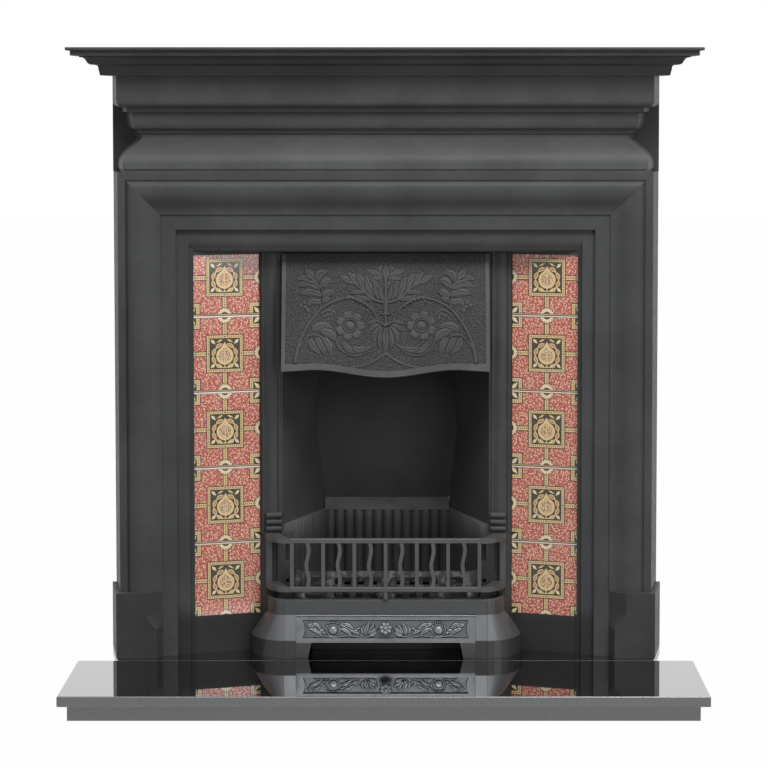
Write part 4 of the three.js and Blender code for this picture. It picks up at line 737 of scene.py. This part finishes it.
def bud(r):
    """The head of the central stalk, with leaves on each side, and the stalk itself."""
    r.leaf([(-7, 48), (-13, 34), (-6, 22)], 12, 2.6)
    r.leaf([(0, 52), (0, 34), (0, 20)], 15, 3.2)
    r.leaf([(-8, 46), (-24, 38), (-38, 34)], 12, 2.4)
    r.leaf([(-7, 50), (-20, 50), (-30, 52)], 9, 2.0)
    r.stem([(-9, 19), (9, 19)], 1.2, 1.2, 1.4)
    r.stem([(0, 50), (0, 94)], 3.4, 3.4, 3.0)


def acanthus(r):
    """A great leaf: a long vein with upright blades along it."""
    for blade, width in (
        ([(-42, 80), (-54, 79), (-72, 80)], 10), ([(-24, 92), (-42, 92), (-62, 85)], 10),
        ([(-66, 60), (-80, 52), (-92, 44)], 14), ([(-52, 68), (-60, 54), (-76, 38)], 15),
        ([(-38, 80), (-46, 60), (-58, 40)], 15), ([(-24, 90), (-32, 70), (-40, 48)], 15),
        ([(-13, 94), (-18, 74), (-23, 54)], 14), ([(-5, 97), (-9, 82), (-13, 66)], 9),
    ):
        r.leaf(blade, width, 3.0)
    r.stem([(-6, 99), (-16, 97), (-32, 88), (-54, 68), (-84, 48)], 3.6, 1.4, 3.4)


def vase(r):
    """A vase on the middle line, with a ring above and below."""
    r.stem([(0, 94), (0, 108), (0, 122)], 5.4, 4.6, 3.6)
    r.stem([(0, 122), (0, 146)], 3.0, 3.0, 3.0)
    for v, half in ((93, 9), (124, 8)):
        r.stem([(-half, v), (half, v)], 2.0, 2.0, 4.0)


def hook(r):
    """Two curled stems above the flower."""
    r.stem([(-128, 122), (-116, 116), (-103, 118), (-99, 128), (-102, 136)], 2.6, 1.6, 2.6)
    r.stem([(-122, 128), (-112, 123), (-106, 128), (-106, 136)], 2.0, 1.4, 2.0)


def side_leaves(r):
    """Leaves low at the side, over a curved stem."""
    for blade, width in (
        ([(-146, 156), (-128, 147), (-106, 150)], 17), ([(-130, 158), (-112, 162), (-100, 178)], 17),
        ([(-150, 172), (-144, 188), (-130, 204)], 15), ([(-138, 170), (-130, 184), (-120, 204)], 15),
        ([(-124, 172), (-114, 184), (-108, 204)], 15),
    ):
        r.leaf(blade, width, 2.8)
    r.stem([(-172, 192), (-152, 168), (-128, 170), (-106, 196)], 2.2, 1.2, 3.0)


def main_scroll(r):
    """The scroll, its curled tip and the beaded ribbon that leaves it."""
    r.stem([(-180, 226), (-173, 188), (-156, 148), (-128, 112), (-99, 96), (-80, 91)], 4.0, 2.6, 3.6)
    r.stem([(-80, 91), (-74, 88), (-77, 96), (-80, 101)], 2.6, 1.8, 3.4)
    r.stem([(-76, 88), (-52, 95), (-29, 112), (-15, 134)], 3.2, 2.2, 3.2)
    for k in range(6):
        r.bead((-72 + 7.0 * k, 90.5 + 2.1 * k + 0.25 * k * k), 3.0, 4.2)


def ringed_flower(r):
    """A flower inside its ring, with leaves and berries above it."""
    r.stem([(-100, 154), (-98, 178), (-88, 196), (-64, 207), (-40, 202), (-22, 184)], 2.4, 2.2, 2.8)
    for blade in ([(-84, 182), (-72, 196), (-50, 200)], [(-66, 190), (-50, 196), (-28, 188)]):
        r.leaf(blade, 13, 2.8)
    r.flower((-71, 147), 31, 7, 3.4)
    for u, v in ((-78, 164), (-73, 168), (-68, 165), (-75, 173)):
        r.bead((u, v), 2.4, 3.0)


def fan(r):
    """A fan of leaves under the stalk's tie, and the stem along the bottom."""
    for blade, width in (
        ([(-12, 142), (-24, 140), (-38, 142)], 10), ([(-10, 146), (-24, 150), (-34, 158)], 11),
        ([(-8, 150), (-20, 164), (-24, 182)], 14), ([(-4, 152), (-10, 172), (-12, 192)], 14),
        ([(0, 150), (0, 176), (0, 206)], 13),
    ):
        r.leaf(blade, width, 3.2)
    r.stem([(-20, 136), (-10, 141), (0, 147)], 2.6, 3.0, 4.0)
    r.stem([(-2, 204), (-22, 218), (-46, 228), (-72, 232)], 3.4, 2.2, 3.0)


def hood_ornament():
    r = Relief(HOOD_FIELD_HALF + 3.0, 2.0, HOOD_SLOPE - 5.0, 0.8)
    for motif in (corner_leaf, bud, acanthus, vase, hook, side_leaves, main_scroll, ringed_flower, fan):
        motif(r)
    return r


# Motifs on the ash cover: millimetres from its middle line and above the slab
def long_leaves(r):
    """Leaves that slant down on each side of the fruit."""
    for root, tip, width in (
        ((-157, 66), (-118, 47), 13), ((-152, 58), (-126, 45), 8), ((-92, 67), (-52, 46), 13),
        ((-90, 58), (-66, 44), 8), ((-84, 68), (-62, 56), 7), ((-146, 68), (-128, 58), 7),
    ):
        middle = ((root[0] + tip[0]) / 2, (root[1] + tip[1]) / 2 + 1.5)
        r.leaf([root, middle, tip], width, 2.3, 5 if width > 10 else 1)


def fruit(r):
    """A pomegranate in its husk, with a beaded crown."""
    r.stem([(-117, 63), (-119, 54), (-112, 45), (-106, 43)], 2.0, 1.2, 1.9)
    r.stem([(-93, 63), (-91, 54), (-98, 45), (-105, 43)], 2.0, 1.2, 1.9)
    r.bead((-105, 54), 8.4, 3.0)
    for k in range(6):
        r.bead((-115 + 4.0 * k, 66 + 3.5 * math.sin(math.pi * (k + 0.5) / 6)), 2.1, 2.2)


def knob_leaf(r):
    """A curl and a lobed leaf next to the knob, and a waved line along the bottom."""
    r.stem([(-60, 49), (-56, 57), (-48, 57), (-42, 50), (-40, 45)], 2.2, 1.6, 2.0)
    for blade, width in (
        ([(-44, 48), (-46, 56), (-44, 63)], 9), ([(-38, 46), (-38, 58), (-34, 68)], 10),
        ([(-34, 46), (-28, 56), (-24, 68)], 10), ([(-32, 48), (-22, 54), (-17, 61)], 9),
        ([(-33, 45), (-24, 46), (-18, 51)], 7),
    ):
        r.leaf(blade, width, 2.5)
    wave = [(-142 + 12 * k, 42.4 + 1.4 * math.sin(1.4 * k)) for k in range(11)]
    r.stem(wave, 1.3, 1.1, 1.6)


def cover_ornament():
    r = Relief(COVER_FIELD_HALF + 1.0, COVER_FIELD_LOW - 1.0, COVER_FIELD_HIGH + 1.0, 0.5)
    for motif in (long_leaves, fruit, knob_leaf):
        motif(r)
    return r


def build_hood_relief(material):
    hood = hood_ornament()
    lean, fall = HOOD_LEAN / HOOD_SLOPE, HOOD_FALL / HOOD_SLOPE

    def on_hood(u, v, n):
        n = n + HOOD_PLATE
        depth = HOOD_TOP_DEPTH - HOOD_PLATE + v * lean + n * fall
        return u, WALL_Y - depth, HOOD_TOP_Z - v * fall + n * lean - HOOD_PLATE * lean

    def hood_rim(u, v):
        wave = 0.5 * HOOD_DROP * np.cos(np.pi * np.minimum(1.0, np.abs(u) / HOOD_HALF / HOOD_WAVE_SHARE))
        return (v > HOOD_SLOPE + wave - HOOD_LIP) | (np.abs(u) > HOOD_FIELD_HALF)

    height = hood.finished(grain=1.5, seed=7)
    piece = relief_piece("hood_ornament", hood, height, on_hood, hood_rim, rim_shade=0.4)
    piece.data.materials.append(material)
    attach(piece, "root")


def build_cover_relief(material):
    cover = cover_ornament()

    def on_cover(u, z, n):
        depth = COVER_FOOT_DEPTH - (z - COVER_BASE) * COVER_LEAN - COVER_SINK + n
        return u, WALL_Y - depth, SLAB_TOP + z

    def cover_rim(u, z):
        middle = (COVER_FIELD_LOW + COVER_FIELD_HIGH) / 2
        hollow = 4.5 * (1.0 - ((z - middle) / (COVER_FIELD_HIGH - middle)) ** 2)
        high, low = z > COVER_FIELD_HIGH, z < COVER_FIELD_LOW
        return high | low | (np.abs(u) > COVER_FIELD_HALF - hollow)

    height = cover.finished(grain=0.1, seed=11)
    piece = relief_piece("cover_ornament", cover, height, on_cover, cover_rim, rim_shade=2.0)
    piece.data.materials.append(material)
    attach(piece, "cover")


# ---------------------------------------------------------------- floor, backdrop and light
def seen_directly(tree):
    """1 for rays from the camera, off gloss or through glass, which meet a plain white background."""
    path = tree.nodes.new("ShaderNodeLightPath")
    seen = path.outputs["Is Camera Ray"]
    for kind in ("Is Glossy Ray", "Is Transmission Ray"):
        either = tree.nodes.new("ShaderNodeMath")
        either.operation = "MAXIMUM"
        tree.links.new(seen, either.inputs[0])
        tree.links.new(path.outputs[kind], either.inputs[1])
        seen = either.outputs[0]
    return seen


def make_floor():
    bpy.ops.mesh.primitive_plane_add(size=FLOOR_SIZE, location=(0.0, 0.0, -FLOOR_DROP))
    floor = bpy.context.object
    floor.name = "floor"
    g = Graph("pale_floor")
    g.set(colour=(0.25, 0.25, 0.25), rough=0.9)
    glow = g.node("ShaderNodeEmission")
    both = g.node("ShaderNodeMixShader")
    out = next(n for n in g.tree.nodes if n.type == "OUTPUT_MATERIAL")
    g.feed(both.inputs[0], Value(g, seen_directly(g.tree)) * FLOOR_WHITE)
    g.feed(both.inputs[1], g.shader.outputs[0])
    g.feed(both.inputs[2], glow.outputs[0])
    g.feed(out.inputs["Surface"], both.outputs[0])
    floor.data.materials.append(g.material)


def make_world():
    world = bpy.data.worlds.new("studio")
    SCENE.world = world
    world.use_nodes = True
    tree = world.node_tree
    tree.nodes.clear()
    both = tree.nodes.new("ShaderNodeMixShader")
    tree.links.new(seen_directly(tree), both.inputs[0])
    warm, white = (1.0, 0.99, 0.97, 1.0), (1.0, 1.0, 1.0, 1.0)
    for socket, colour, strength in zip(both.inputs[1:], (warm, white), (ROOM_LIGHT, 1.0)):
        sky = tree.nodes.new("ShaderNodeBackground")
        sky.inputs["Color"].default_value = colour
        sky.inputs["Strength"].default_value = strength
        tree.links.new(sky.outputs[0], socket)
    out = tree.nodes.new("ShaderNodeOutputWorld")
    tree.links.new(both.outputs[0], out.inputs["Surface"])


def softbox(name, place, aim, size, power):
    data = bpy.data.lights.new(name, "AREA")
    data.shape = "RECTANGLE"
    data.size, data.size_y = size
    data.energy = power
    lamp = bpy.data.objects.new(name, data)
    lamp.location = place
    lamp.rotation_euler = (Vector(aim) - Vector(place)).to_track_quat("-Z", "Y").to_euler()
    SCENE.collection.objects.link(lamp)


def make_lights():
    breast = (0.0, 0.0, 1.0)
    softbox("key", place=(0.4, -1.6, 3.0), aim=breast, size=(2.4, 1.2), power=68.0)
    softbox("side", place=(2.6, -3.5, 1.3), aim=breast, size=(1.6, 1.6), power=28.0)


# ---------------------------------------------------------------- dressing the solids
def dress(name, material, bevel, angle, smooth):
    """Welds, softens and smooths a solid through modifiers and gives it its material."""
    node = NODES[name]
    mesh = node.data
    mesh.materials.clear()
    mesh.materials.append(material)
    for attribute in ("custom_normal", "sharp_edge", "sharp_face"):
        if attribute in mesh.attributes:
            mesh.attributes.remove(mesh.attributes[attribute])
    mesh.polygons.foreach_set("use_smooth", [smooth] * len(mesh.polygons))
    weld = node.modifiers.new("weld", "WELD")
    weld.merge_threshold = WELD
    if bevel:
        soft = node.modifiers.new("arris", "BEVEL")
        soft.width = bevel
        soft.segments = 2
        soft.limit_method = "ANGLE"
        soft.angle_limit = math.radians(angle)
    if smooth:
        split = node.modifiers.new("creases", "EDGE_SPLIT")
        split.split_angle = math.radians(angle)
        even = node.modifiers.new("even", "WEIGHTED_NORMAL")
        even.keep_sharp = True
        even.weight = 60


def slot_materials():
    """The material that most nodes of a slot have."""
    bright = polished_iron("polished_iron", (0.15, 0.156, 0.166), (0.19, 0.197, 0.21))
    return {
        "mat_iron": iron("matt_iron"), "polished_iron": bright, "brick_iron": brick_iron("brick_iron"),
        "granite": granite("granite"), "mortar": mortar("mortar"),
        "sheet_steel": sheet_steel("sheet_steel"), "glazed_tile": tile("glazed_tile"),
    }


def own_materials():
    """The materials of nodes that don't look like the rest of their slot."""
    # Painted shade, with soot: darker towards the top under the hood, lighter low down
    inside = iron("firebox_iron", (0.066, 0.067, 0.069), rough=0.6, grain=1.4, shine=0.15,
                  painted_shade_by_height=(0.4, 0.66, 1.3, 0.5))
    rubbed = iron("rubbed_iron", (0.09, 0.093, 0.097), rough=0.34, grain=0.6, shine=0.5)
    flared = flared_iron("flared_iron")
    worn = worn_iron("worn_iron")
    own = {
        "fireback": inside, "throat_plate": inside, "ash_pan": inside, "pan_handle": inside,
        "bottom_grate": worn, "grate_fence": worn, "grate_apron": flared, "front_bars": rubbed,
        "cover_knob": polished_iron("knob_iron", (0.16, 0.166, 0.176), (0.26, 0.27, 0.285)),
        # Painted shade: the insert darkens low down, where it lies recessed
        "insert_front": iron("insert_iron_painted_shade", painted_shade_by_height=(0.11, 0.16, 0.45, 1.0)),
        # Painted light: a lighter copy of the matt iron on the frieze, against the shade under the shelf
        "frieze_moulding": iron("frieze_iron_painted_light", (0.084, 0.086, 0.087)),
        # Painted light: a lighter copy of the matt iron on the hood's lip and border
        "hood": iron("hood_lip_iron_painted_light", (0.092, 0.095, 0.097)),
    }
    # Painted light: the cheeks are a lighter copy of the firebox iron
    cheek = iron("cheek_iron_painted_light", (0.092, 0.092, 0.093), rough=0.55, grain=1.4)
    # Painted shade: the plinths are a darker copy of the matt iron
    plinth = iron("plinth_iron_painted_shade", (0.048, 0.049, 0.05))
    pairs = {"cheek": cheek, "grate_end": flared, "grate_arm": rubbed, "plinth": plinth}
    for kind, material in pairs.items():
        own[f"left_{kind}"] = material
        own[f"right_{kind}"] = material
    return own


def dress_all():
    by_slot, own = slot_materials(), own_materials()
    tiles = 0
    for part in frame["record"]["subparts"]:
        name, slot = part["node"], part["material_slot"]
        if slot == "glazed_tile":
            tiles += 1
            place_tile_pattern(NODES[name], tiles)
        dress(name, own.get(name, by_slot[slot]), OWN_ARRIS.get(name, ARRIS),
              OWN_CREASE.get(name, CREASE), slot not in FLAT_SLOTS)
    # Both ornaments get painted light and shade: lighter raised parts and darker recesses
    build_hood_relief(iron("hood_iron", relief=True))
    low, high = (0.1, 0.104, 0.111), (0.13, 0.135, 0.144)
    build_cover_relief(polished_iron("cover_relief", low, high, relief=True))


make_camera()
make_floor()
make_world()
make_lights()
dress_all()
